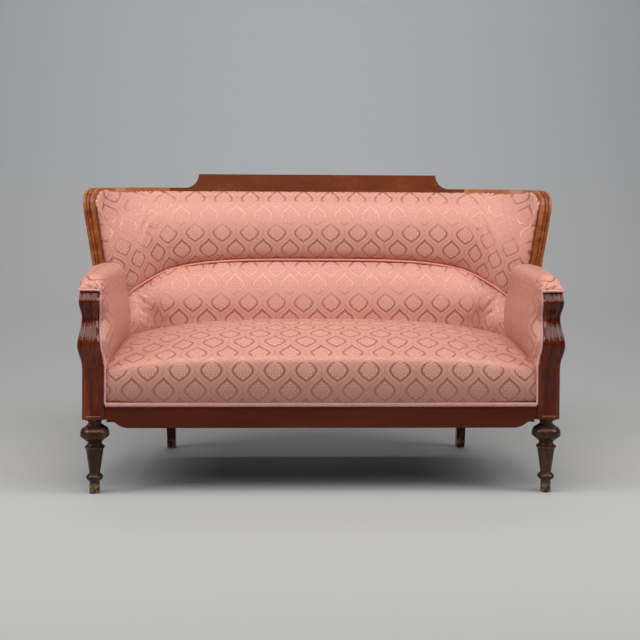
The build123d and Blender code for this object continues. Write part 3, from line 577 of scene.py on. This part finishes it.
def postEdge(z):
    # the scroll's inner edge, where the cord and the arm cover start
    look = postLook
    x = look["x"] + eased(look["levels"], look["leans"], z) - eased(look["levels"], look["widths"], z) / 2
    back = (look["groove"] + look["side"][1]) * smoothShare(*look["reedsFade"], z)
    return x, settee["frontY"] + eased(look["levels"], look["fronts"], z) + back


def makePost(side, word):
    look = postLook
    deselectAll()
    bpy.ops.mesh.primitive_cube_add(size=1)
    block = bpy.context.object
    block.name = "scrollPost" + word
    bpy.ops.object.mode_set(mode="EDIT")
    high = look["levels"][0] - look["low"]
    middle = (side * look["x"], settee["frontY"] + look["size"] / 2, look["low"] + high / 2)
    bpy.ops.transform.resize(value=(look["size"], look["size"], high))
    bpy.ops.transform.translate(value=middle)
    mesh = bmesh.from_edit_mesh(block.data)
    for face in mesh.faces:
        face.select_set(False)
    # the front face, which takes the panel
    for face in mesh.faces:
        if face.normal.y < -0.9:
            face.select_set(True)
    bmesh.update_edit_mesh(block.data)
    bpy.ops.mesh.inset(thickness=look["border"], depth=0)
    bpy.ops.mesh.inset(thickness=look["slope"], depth=-look["sunk"])
    bpy.ops.object.mode_set(mode="OBJECT")
    worn = block.modifiers.new("worn", "BEVEL")
    worn.width = look["worn"]
    worn.segments = look["wornSteps"]
    worn.limit_method = "ANGLE"
    applyAll(block)
    scroll = ringMesh("scroll" + word, mirrored(scrollRings(), side))
    deselectAll()
    scroll.select_set(True)
    block.select_set(True)
    bpy.context.view_layer.objects.active = block
    bpy.ops.object.join()
    smoothEdges(block, look["crease"])
    finishPiece(block, wood["mahoganyPost"], "mahogany", "front_post_" + word.lower())


makePost(-1, "Left")
makePost(1, "Right")
print("posts carved")

# piping sewn into the seam above the lumbar roll, straight along the back and round both corners
pipingLook = {
    "thick": 0.0092, "top": 0.688, "arch": 0.038, "end": 0.530, "turn": 75.0, "bulge": 0.104, "fade": 0.4,
    "lip": 0.45, "out": 0.0065, "up": 0.002, "skin": 0.005, "straight": 60, "corner": 30, "rounds": 40,
    "gap": 0.006, "sides": 3,
}


def pipingRoute():
    look = pipingLook
    run = np.concatenate([np.linspace(0, 1, look["straight"]), np.ones(look["corner"])])
    turn = np.concatenate([np.zeros(look["straight"]), np.linspace(0, 1, look["corner"] + 1)[1:]])
    top = look["top"] - look["arch"] * run ** 4 - (look["top"] - look["arch"] - look["end"]) * turn
    reach = settee["cornerRadius"] + (top - settee["railTop"]) * settee["rake"]
    reach = reach - settee["backSkin"] + look["skin"]
    reach -= look["bulge"] * (1 - look["fade"] * turn) * look["lip"] + look["out"]
    angle = np.radians(look["turn"]) * turn
    half = np.stack([run * settee["cornerX"] + reach * np.sin(angle), settee["cornerY"] + reach * np.cos(angle),
                     top + look["up"]], 1)
    # rounds off the bend where the straight back runs into the corner
    return roundOff(np.concatenate([mirrored(half[:0:-1], -1), half]), look["rounds"])


pipingPoints, _, pipingAlong = evenly(pipingRoute(), pipingLook["gap"])
piping = strandPiece("seamPiping", [pipingPoints], pipingLook["thick"], pipingLook["sides"])
finishPiece(piping, woven["pipingCloth"], "piping", "lumbar_piping")
print("piping", round(float(pipingAlong[-1]), 3), "m")

# gimp along the front rail: three plaited strands between two twisted edges
gimpLook = {
    "half": 0.676, "y": -0.3482, "z": 0.2835, "high": 0.0098, "strand": 0.0046, "plait": 0.0155, "deep": 0.0011,
    "plaitPoints": 14, "sides": 1,
}
gimpEdgeLook = {"thick": 0.0018, "twist": 0.0100, "apart": 0.0008, "behind": 0.0005, "spare": 0.001}
# cord up the inner edge of each post and over its top
cordLook = {
    "thick": 0.0046, "twist": 0.0100, "apart": 0.0019, "sides": 1, "blockZ": (0.284, 0.392),
    "scrollZ": (0.400, 0.634), "inward": 0.0024, "ahead": 0.0005, "foremost": -0.3468,
    "bendIn": 0.0045, "bendWide": 0.0069, "bendZ": 0.6345, "bendHigh": 0.0065,
    "topY": -0.3440, "topZ": 0.641, "topEnds": (0.008, 0.002),
    "blockPoints": 12, "scrollPoints": 60, "bendPoints": 8, "topPoints": 12, "rounds": 12,
}
# points in each turn of a twist, and a direction that no cord runs in
twistLook = {"points": 10, "across": (0, 0.4, 0.9)}


def plaitRoutes():
    look = gimpLook
    x = np.arange(-look["half"], look["half"], look["plait"] / look["plaitPoints"])
    turn = 2 * math.pi * x / look["plait"]
    return [np.stack([x, look["y"] - look["deep"] * np.sin(2 * (turn + shift)),
                      look["z"] + (look["high"] - look["strand"]) / 2 * np.sin(turn + shift)], 1)
            for shift in (0, 2 * math.pi / 3, 4 * math.pi / 3)]


def twisted(route, look):
    # two strands wound round a line
    points, ways, along = evenly(route, look["twist"] / twistLook["points"])
    aside = np.cross(ways, twistLook["across"])
    aside /= np.linalg.norm(aside, axis=1, keepdims=True)
    upward = np.cross(aside, ways)
    turn = 2 * math.pi * along[:, None] / look["twist"]
    return [points + look["apart"] * (np.cos(turn + shift) * aside + np.sin(turn + shift) * upward)
            for shift in (0, math.pi)]


def gimpEdge(up):
    x = np.linspace(-gimpLook["half"], gimpLook["half"], 2)
    y = gimpLook["y"] + gimpEdgeLook["behind"]
    z = gimpLook["z"] + up * (gimpLook["high"] + gimpEdgeLook["spare"]) / 2
    return np.stack([x, np.full_like(x, y), np.full_like(x, z)], 1)


def postCordRoute(side):
    look = cordLook
    z = np.concatenate([np.linspace(*look["blockZ"], look["blockPoints"]),
                        np.linspace(*look["scrollZ"], look["scrollPoints"])])
    x, y = postEdge(z)
    up = np.stack([x - look["inward"], np.maximum(y, look["foremost"]) - look["ahead"], z], 1)
    crown = postLook["x"] + postLook["leans"][-1]
    half = postLook["widths"][-1] / 2
    angle = np.linspace(0, math.pi / 2, look["bendPoints"])[1:]
    bend = np.stack([crown - half + look["bendIn"] - look["bendWide"] * np.cos(angle),
                     y[-1] + (look["topY"] - y[-1]) * np.sin(angle) ** 2,
                     look["bendZ"] + look["bendHigh"] * np.sin(angle)], 1)
    start, end = look["topEnds"]
    topX = np.linspace(crown - half + start, crown + half - end, look["topPoints"])
    over = np.stack([topX, np.full_like(topX, look["topY"]), np.full_like(topX, look["topZ"])], 1)
    return mirrored(roundOff(np.concatenate([up, bend, over]), look["rounds"]), side)


gimp = strandPiece("railGimp", plaitRoutes(), gimpLook["strand"], gimpLook["sides"])
finishPiece(gimp, woven["gimpBraid"], "braid", "seat_braid")
edgeStrands = [strand for up in (-1, 1) for strand in twisted(gimpEdge(up), gimpEdgeLook)]
edging = strandPiece("railGimpEdges", edgeStrands, gimpEdgeLook["thick"], gimpLook["sides"])
finishPiece(edging, woven["gimpBraid"], "braid")
for side, word in ((-1, "Left"), (1, "Right")):
    strands = twisted(postCordRoute(side), cordLook)
    cord = strandPiece("postCord" + word, strands, cordLook["thick"], cordLook["sides"])
    finishPiece(cord, woven["gimpBraid"], "braid", "post_braid_" + word.lower())
print("braids laid")

# how the damask lies on the seat and the back, in metres
clothLook = {
    "seatHalf": 0.674, "seatEdge": 0.442, "seatDip": 0.038, "seatIn": 0.005, "seatRoll": 0.030,
    "seatShift": (0.049, 0.020), "cornerRadius": 0.215, "backRise": 1.05,
    "wingFrom": (0.36, 0.80), "wingLean": 0.24, "wingMiddle": (0.40, 0.80), "wingRise": 0.6,
}


def seatPlace(co):
    # up the front, round the front roll and back over the top
    look = clothLook
    x, y, z = co.T
    share = np.clip(np.abs(x) / look["seatHalf"], 0, 1)
    front = settee["frontY"] + look["seatIn"]
    roll = look["seatRoll"]
    low = look["seatEdge"] - look["seatDip"] * share ** 4 - roll
    turn = np.arctan2(np.maximum(z - low, 0), np.maximum(front + roll - y, 1e-6))
    face = low - settee["railTop"]
    up = np.where(z < low, z - settee["railTop"], face + roll * turn)
    up = np.where(y > front + roll, face + roll * math.pi / 2 + y - front - roll, up)
    return np.stack([x, up], 1) + np.array(look["seatShift"])


def backPlace(co):
    # along the straight back and round its corners
    x, y, z = co.T
    over = np.abs(x) - settee["cornerX"]
    angle = np.arctan2(np.maximum(over, 0), np.maximum(y - settee["cornerY"], 1e-4))
    along = np.where(over > 0, settee["cornerX"] + clothLook["cornerRadius"] * angle, np.abs(x))
    return np.stack([np.sign(x) * along, z * clothLook["backRise"]], 1)


def upperPlace(co):
    # the cloth of the upper pad is drawn out towards the wings
    look = clothLook
    along, up = backPlace(co).T
    lean = look["wingLean"] * smoothShare(*look["wingFrom"], np.abs(along))
    middleX, middleZ = look["wingMiddle"]
    out, up = np.abs(along) - middleX, up - middleZ
    return np.stack([np.sign(along) * (middleX + out * np.cos(lean) - up * np.sin(lean)),
                     middleZ + out * np.sin(lean) * look["wingRise"] + up * np.cos(lean)], 1)


# ranges are where each movement starts and where it is full
fillLook = {"rangeX": (0.655, 0.672), "out": 0.0035}
tuckLook = {
    "wingX": (0.60, 0.68), "wingY": (0.140, 0.175), "wingZ": (0.60, 0.66), "forward": 0.007, "out": 0.006,
    "cornerX": (0.70, 0.75), "cornerZ": (0.86, 0.905), "cornerUp": 0.005, "cornerOut": 0.008,
    "topZ": (0.905, 0.925), "topUp": 0.004,
}


def fillSides(pad):
    # the seat is stuffed tight between the posts
    co = pointsOf(pad)
    co[:, 0] += np.sign(co[:, 0]) * fillLook["out"] * smoothShare(*fillLook["rangeX"], np.abs(co[:, 0]))
    movePoints(pad, co)


def tuckUnder(pad):
    # the upper cover is drawn in under the cappings and the crest
    look = tuckLook
    co = pointsOf(pad)
    wing = smoothShare(*look["wingX"], np.abs(co[:, 0])) * (1 - smoothShare(*look["wingY"], co[:, 1]))
    rise = smoothShare(*look["wingZ"], co[:, 2])
    co[:, 1] -= look["forward"] * wing * rise
    co[:, 0] += np.sign(co[:, 0]) * look["out"] * wing * rise
    corner = smoothShare(*look["cornerX"], np.abs(co[:, 0])) * smoothShare(*look["cornerZ"], co[:, 2])
    co[:, 2] += look["topUp"] * smoothShare(*look["topZ"], co[:, 2]) + look["cornerUp"] * corner
    co[:, 0] += np.sign(co[:, 0]) * look["cornerOut"] * corner
    movePoints(pad, co)


# stuffed pads: held says where the cloth is tacked, free how far it may be blown up, most is the cap on that
stuffing = {
    "round": 0.5, "pressure": 3.0, "frames": 12,
    "cloth": {"quality": 4, "mass": 0.3, "tension_stiffness": 18, "compression_stiffness": 18,
              "shear_stiffness": 8, "bending_stiffness": 2.0},
}
padLooks = {
    "seatPad": {
        "node": "seat_pad", "place": seatPlace, "shape": fillSides, "fill": 0.85,
        "voxel": 0.007, "smooth": 3, "push": 0.0025, "most": 0.006,
        "held": lambda x, y, z: (z < 0.300) | (y > 0.148) | ((y < -0.33) & (z < 0.41)),
        "free": lambda x, y, z: smoothShare(-0.345, -0.250, y)},
    "lumbarRoll": {
        "node": "lumbar_roll", "place": backPlace, "fill": 0.8,
        "voxel": 0.006, "smooth": 5, "push": 0.0025, "most": 0.007,
        "held": lambda x, y, z: z < 0.42,
        "free": lambda x, y, z: smoothShare(0.42, 0.46, z)},
    "upperBack": {
        "node": "upper_back_pad", "place": upperPlace, "shape": tuckUnder, "fill": 0.8,
        "voxel": 0.0055, "smooth": 3, "push": 0.0035, "most": 0.006,
        "held": lambda x, y, z: z > 0.922,
        "free": lambda x, y, z: 1 - smoothShare(0.640, 0.730, np.abs(x))},
}


def softPad(name, look):
    # the stuffed form: even quads and a rounded skin
    pad = copyOfNode(look["node"], name)
    remesh = pad.modifiers.new("even", "REMESH")
    remesh.mode = "VOXEL"
    remesh.voxel_size = look["voxel"]
    applyAll(pad)
    smooth = pad.modifiers.new("round", "SMOOTH")
    smooth.factor = stuffing["round"]
    smooth.iterations = look["smooth"]
    applyAll(pad)
    movePoints(pad, pointsOf(pad) + normalsOf(pad) * look["push"])
    return pad


def blowUp(pad, look):
    # cloth pushed out by the stuffing, held where it is tacked
    rest = pointsOf(pad)
    held = pad.vertex_groups.new(name="tacked")
    for i in np.nonzero(look["held"](*rest.T))[0]:
        held.add([int(i)], 1.0, "REPLACE")
    cloth = pad.modifiers.new("stuffing", "CLOTH")
    for key, value in stuffing["cloth"].items():
        setattr(cloth.settings, key, value)
    cloth.settings.use_pressure = True
    cloth.settings.uniform_pressure_force = stuffing["pressure"]
    cloth.settings.vertex_group_mass = "tacked"
    cloth.settings.effector_weights.gravity = 0
    cloth.collision_settings.use_collision = False
    scene = bpy.context.scene
    for step in range(1, stuffing["frames"] + 1):
        scene.frame_set(step)
    applyAll(pad)
    moved = pointsOf(pad) - rest
    length = np.linalg.norm(moved, axis=1, keepdims=True)
    capped = moved * np.minimum(1.0, look["most"] / np.maximum(length, 1e-9))
    movePoints(pad, rest + capped * look["free"](*rest.T)[:, None])
    scene.frame_set(1)


def makePad(name, look):
    pad = softPad(name, look)
    if "shape" in look:
        look["shape"](pad)
    layCloth(pad, look["place"](pointsOf(pad)))
    blowUp(pad, look)
    pick(pad)
    bpy.ops.object.shade_smooth()
    finishPiece(pad, damask, "damask", look["node"])
    print("padded", name, len(pad.data.polygons))


for name, look in padLooks.items():
    makePad(name, look)

# arm pads: a full roll over the arm rail, drawn down to the post in pleats
armLook = {
    "inner": 0.682, "outer": 0.760, "wide": 0.8106, "bow": 0.5, "low": 0.326, "rise": 0.047, "lift": 0.003,
    "under": 0.010, "bulge": 0.018, "frontY": -0.3370, "rearY": 0.1237, "behind": 0.0045,
    "nose": 0.17, "noseRise": 0.001, "rows": 96, "rowsPower": 1.3,
    "crown": 64, "crownStart": -0.5, "roundX": 0.92, "roundZ": 0.88,
    "face": 56, "faceAhead": 0.009, "faceFrom": (0, 0.08), "clear": 0.004, "inset": 0.0015,
    "pleat": 0.0060, "pleats": 14, "pleatTurn": 0.5, "pleatSharp": 8, "pleatFull": 0.18, "reach": 0.055,
    "pleatBack": 0.003, "pleatFrom": (0.003, 0.020), "clothShift": (0.03, 0.2),
    "thick": 0.009, "fill": 0.75, "crease": 60,
}


def bowed(value, power):
    return np.sign(value) * np.abs(value) ** power


def armSkin(side):
    look = armLook
    share = np.linspace(0, 1, look["rows"])[:, None] ** look["rowsPower"]
    swell = np.sqrt(1 - (1 - np.minimum(share / look["nose"], 1)) ** 2)
    level = settee["armHeight"] + look["lift"]
    edge, _ = postEdge(np.array([settee["armHeight"]]))
    # over the crown, from under the outer edge to the top of the inner face
    angle = np.linspace(look["crownStart"], math.pi, look["crown"])[None, :]
    y = look["frontY"] + share * (look["rearY"] - look["frontY"]) + 0 * angle
    run = np.clip((y - settee["frontY"]) / (settee["cornerY"] - settee["frontY"]), 0, 1)
    outer = look["outer"] + run * (look["wide"] - look["outer"])
    outer = outer - np.maximum(y - settee["cornerY"], 0) ** 2 / look["bow"]
    inner = edge + (look["inner"] - edge) * swell
    rise = look["noseRise"] + (look["rise"] - look["noseRise"]) * swell
    aside, upward = bowed(np.cos(angle), look["roundX"]), bowed(np.sin(angle), look["roundZ"])
    x = (inner + outer) / 2 + (outer - inner) / 2 * aside
    crown = np.stack([x, y, level + np.where(upward > 0, rise, look["under"]) * upward], -1)
    # down the inner face, full in the middle
    down = np.linspace(0, 1, look["face"] + 1)[None, 1:]
    z = level - down * (level - look["low"]) + 0 * share
    edge, start = postEdge(z)
    start = start + look["behind"] - look["faceAhead"] * (1 - smoothShare(*look["faceFrom"], down))
    full = look["inner"] - look["bulge"] * np.sin(math.pi * down) ** 2
    full = np.minimum(full, edge - look["clear"])
    x = edge - look["inset"] + (full - edge) * swell
    face = np.stack([x, start + share * (look["rearY"] - start), z], -1)
    return mirrored(np.concatenate([crown, face], 1), side)


def overCloth(skin, axis):
    # distances over a grid of points, from its first row or column
    steps = np.linalg.norm(np.diff(skin, axis=axis), axis=2)
    start = np.zeros_like(np.take(steps, [0], axis=axis))
    return np.concatenate([start, np.cumsum(steps, axis=axis)], axis)


def makeArm(side, word):
    look = armLook
    skin = armSkin(side)
    rows, columns = skin.shape[:2]
    index = np.arange(rows * columns).reshape(rows, columns)
    faces = np.stack([index[:-1, :-1], index[:-1, 1:], index[1:, 1:], index[1:, :-1]], -1).reshape(-1, 4)
    mesh = bpy.data.meshes.new("armPad" + word)
    mesh.from_pydata(skin.reshape(-1, 3).tolist(), [], (faces[:, ::-1] if side > 0 else faces).tolist())
    pad = newPiece("armPad" + word, mesh)
    # distances from the corner where the pleats start
    along = overCloth(skin, 1)
    up = along[:, look["crown"] - 1:look["crown"]] - along
    back = overCloth(skin, 0)
    spread = np.hypot(up, back)
    angle = np.arctan2(up, back + look["pleatBack"])
    ridges = np.abs(np.cos(look["pleats"] / 2 * angle + look["pleatTurn"])) ** look["pleatSharp"]
    fold = look["pleatFull"] - ridges
    fold = fold * np.exp(-(spread / look["reach"]) ** 2) * smoothShare(*look["pleatFrom"], spread)
    movePoints(pad, pointsOf(pad) + normalsOf(pad) * (look["pleat"] * fold).ravel()[:, None])
    layCloth(pad, np.stack([back.ravel(), up.ravel()], 1) + np.array(look["clothShift"]))
    wall = pad.modifiers.new("stuffing", "SOLIDIFY")
    wall.thickness = look["thick"]
    wall.offset = -1
    applyAll(pad)
    smoothEdges(pad, look["crease"])
    finishPiece(pad, damask, "damask", "arm_pad_" + word.lower())
    print("padded", pad.name, len(pad.data.polygons))


makeArm(-1, "Left")
makeArm(1, "Right")


def armPlace(co):
    # up the outside of the arm and over the edge of its rail
    x, y, z = co.T
    level = settee["armHeight"]
    return np.stack([y, np.where(z < level, z, level + np.hypot(np.abs(x) - armLook["inner"], z - level))], 1)


# sheets tacked flat over the frame: flat is the cloth each is cut from, area what is left after the cut
sheetStuff = {"damask": damask, "hessian": woven["hessian"], "black_cotton": woven["blackCotton"]}
coverLooks = {
    "outsideBack": {
        "node": "outside_back_cover", "slot": "damask", "place": backPlace, "flat": (1.90, 0.68), "area": 1.105,
        "on": ["back_corner_rail_left", "back_corner_rail_right", "wing_post_left", "wing_post_right",
               "back_upright_middle"]},
    "outsideArmLeft": {
        "node": "outside_arm_cover_left", "slot": "damask", "place": armPlace, "flat": (0.44, 0.36),
        "area": 0.1535, "on": ["arm_rail_left", "side_rail_left"]},
    "outsideArmRight": {
        "node": "outside_arm_cover_right", "slot": "damask", "place": armPlace, "flat": (0.44, 0.36),
        "area": 0.1535, "on": ["arm_rail_right", "side_rail_right"]},
    "dustCover": {
        "node": "dust_cover", "slot": "black_cotton", "flat": (1.44, 0.54), "area": 0.7465,
        "on": ["front_rail", "rear_rail", "side_rail_left", "side_rail_right"]},
    "seatHessian": {
        "node": "seat_hessian", "slot": "hessian", "flat": (1.24, 0.41), "area": 0.502, "on": ["seat_springs"]},
    "backHessian": {
        "node": "back_hessian", "slot": "hessian", "flat": (1.70, 0.435), "area": 0.704,
        "on": ["back_lower_rail", "back_corner_rail_left", "back_corner_rail_right"]},
    "armHessianLeft": {
        "node": "arm_hessian_left", "slot": "hessian", "flat": (0.44, 0.36), "area": 0.1525,
        "on": ["arm_rail_left", "side_rail_left"]},
    "armHessianRight": {
        "node": "arm_hessian_right", "slot": "hessian", "flat": (0.44, 0.36), "area": 0.1525,
        "on": ["arm_rail_right", "side_rail_right"]},
}
# thick is that of the cloth, inner the share of it where its inside starts
cornerLook = {"thick": 0.002, "inner": 0.8, "longest": 0.02, "cuts": 3, "crease": 35}


def roundCorners(cover):
    # the solid's corners are in coarse facets, so long edges are cut and laid on the true curve
    look = cornerLook
    bm = bmesh.new()
    bm.from_mesh(cover.data)
    tooLong = [e for e in bm.edges if e.calc_length() > look["longest"]]
    bmesh.ops.subdivide_edges(bm, edges=tooLong, cuts=look["cuts"], use_grid_fill=True)
    bmesh.ops.triangulate(bm, faces=bm.faces)
    bm.to_mesh(cover.data)
    bm.free()
    co = pointsOf(cover)
    over = np.abs(co[:, 0]) - settee["cornerX"]
    back = co[:, 1] - settee["cornerY"]
    reach = np.hypot(over, back)
    curve = settee["cornerRadius"] + (co[:, 2] - settee["railTop"]) * settee["rake"]
    aim = np.where(curve - reach < look["inner"] * look["thick"], curve, curve - look["thick"])
    share = np.where((over > 0) & (back > 0), aim / np.maximum(reach, 1e-6), 1.0)
    co[:, 0] = np.sign(co[:, 0]) * np.where(over > 0, settee["cornerX"] + over * share, np.abs(co[:, 0]))
    co[:, 1] = settee["cornerY"] + back * np.where(over > 0, share, 1.0)
    movePoints(cover, co)


def makeCover(name, look):
    cover = copyOfNode(look["node"], name)
    if "place" in look:
        roundCorners(cover)
        layCloth(cover, look["place"](pointsOf(cover)))
    smoothEdges(cover, cornerLook["crease"])
    finishPiece(cover, sheetStuff[look["slot"]], look["slot"], look["node"])


for name, look in coverLooks.items():
    makeCover(name, look)

# straps of webbing, tacked across the seat and the back
straps = {"seatWebs": "seat_webbing", "crossWebs": "cross_webbing", "backWebs": "back_webbing"}
for name, node in straps.items():
    finishPiece(copyOfNode(node, name), woven["juteWeb"], "jute", node)
print("covers and webbing laid")

# floor that sweeps up into a backdrop
stageLook = {
    "floor": (0.415, 0.415, 0.41), "wall": (0.40, 0.405, 0.415), "blend": (0.0, 1.4), "rough": 0.8,
    "specular": 0.2, "wide": 18, "wallY": 6.5, "high": 5, "below": 0.0005, "bend": 2.5, "bendSteps": 24,
}


def makeStage():
    look = stageLook
    deselectAll()
    bpy.ops.mesh.primitive_plane_add(size=1, location=(0, 0, 0))
    floor = bpy.context.object
    floor.name = "floorSweep"
    pick(floor)
    bpy.ops.object.mode_set(mode="EDIT")
    bpy.ops.transform.resize(value=(look["wide"], 2 * look["wallY"], 1))
    bpy.ops.transform.translate(value=(0, 0, -look["below"]))
    bm = bmesh.from_edit_mesh(floor.data)
    # the edge at the back is drawn up
    for edge in bm.edges:
        edge.select_set(all(v.co.y > 0 for v in edge.verts))
    bmesh.update_edit_mesh(floor.data)
    bpy.ops.mesh.extrude_region_move(TRANSFORM_OT_translate={"value": (0, 0, look["high"])})
    bpy.ops.object.mode_set(mode="OBJECT")
    bend = floor.modifiers.new("sweep", "BEVEL")
    bend.width = look["bend"]
    bend.segments = look["bendSteps"]
    applyAll(floor)
    bpy.ops.object.shade_smooth()
    material, tree, shader = newMaterial("paperSweep")
    split = addNode(tree, "ShaderNodeSeparateXYZ")
    feed(tree, split, {0: placeOf(tree)})
    colour = mixColours(tree, softStep(tree, split.outputs["Z"], *look["blend"]), look["floor"], look["wall"])
    feed(tree, shader, {"Base Color": colour, "Roughness": look["rough"],
                        "Specular IOR Level": look["specular"]})
    floor.data.materials.append(material)


makeStage()

lamps = {
    "overhead": {"size": (3.8, 1.8), "place": (0.0, -1.15, 2.9), "aim": (0, 0.05, 0.3), "watts": 80},
    "leftFill": {"size": (1.2, 1.6), "place": (-2.6, -0.8, 2.1), "aim": (0.1, -0.05, 0.5), "watts": 40},
    "rightFill": {"size": (1.2, 1.6), "place": (2.6, -0.8, 2.1), "aim": (-0.1, -0.05, 0.5), "watts": 40},
    "key": {"size": (1.7, 0.5), "place": (-0.3, -2.6, 2.6), "aim": (0, 0, 0.6), "watts": 9},
    "wallWash": {"size": (8.0, 1.2), "place": (0.0, 3.0, 4.6), "aim": (0, 6.5, 1.0), "watts": 200},
}
for name, look in lamps.items():
    lampData = bpy.data.lights.new(name, "AREA")
    lampData.shape = "RECTANGLE"
    lampData.size, lampData.size_y = look["size"]
    lampData.energy = look["watts"]
    lamp = newPiece(name, lampData)
    lamp.location = look["place"]
    aim = Vector(look["aim"]) - Vector(look["place"])
    lamp.rotation_euler = aim.to_track_quat("-Z", "Y").to_euler()

# a plain sky, paler near the horizon as a studio wall is
skyLook = {"colour": (0.95, 0.97, 1.0), "rise": (0.10, 0.45), "strength": (0.17, 0.12)}
world = bpy.data.worlds.new("room")
world.use_nodes = True
sky = world.node_tree
skyWay = addNode(sky, "ShaderNodeTexCoord")
skySplit = addNode(sky, "ShaderNodeSeparateXYZ")
feed(sky, skySplit, {0: skyWay.outputs["Generated"]})
skyStrength = softStep(sky, skySplit.outputs["Z"], *skyLook["rise"], *skyLook["strength"])
feed(sky, sky.nodes["Background"], {"Color": skyLook["colour"], "Strength": skyStrength})
bpy.context.scene.world = world
print("stage and light set")
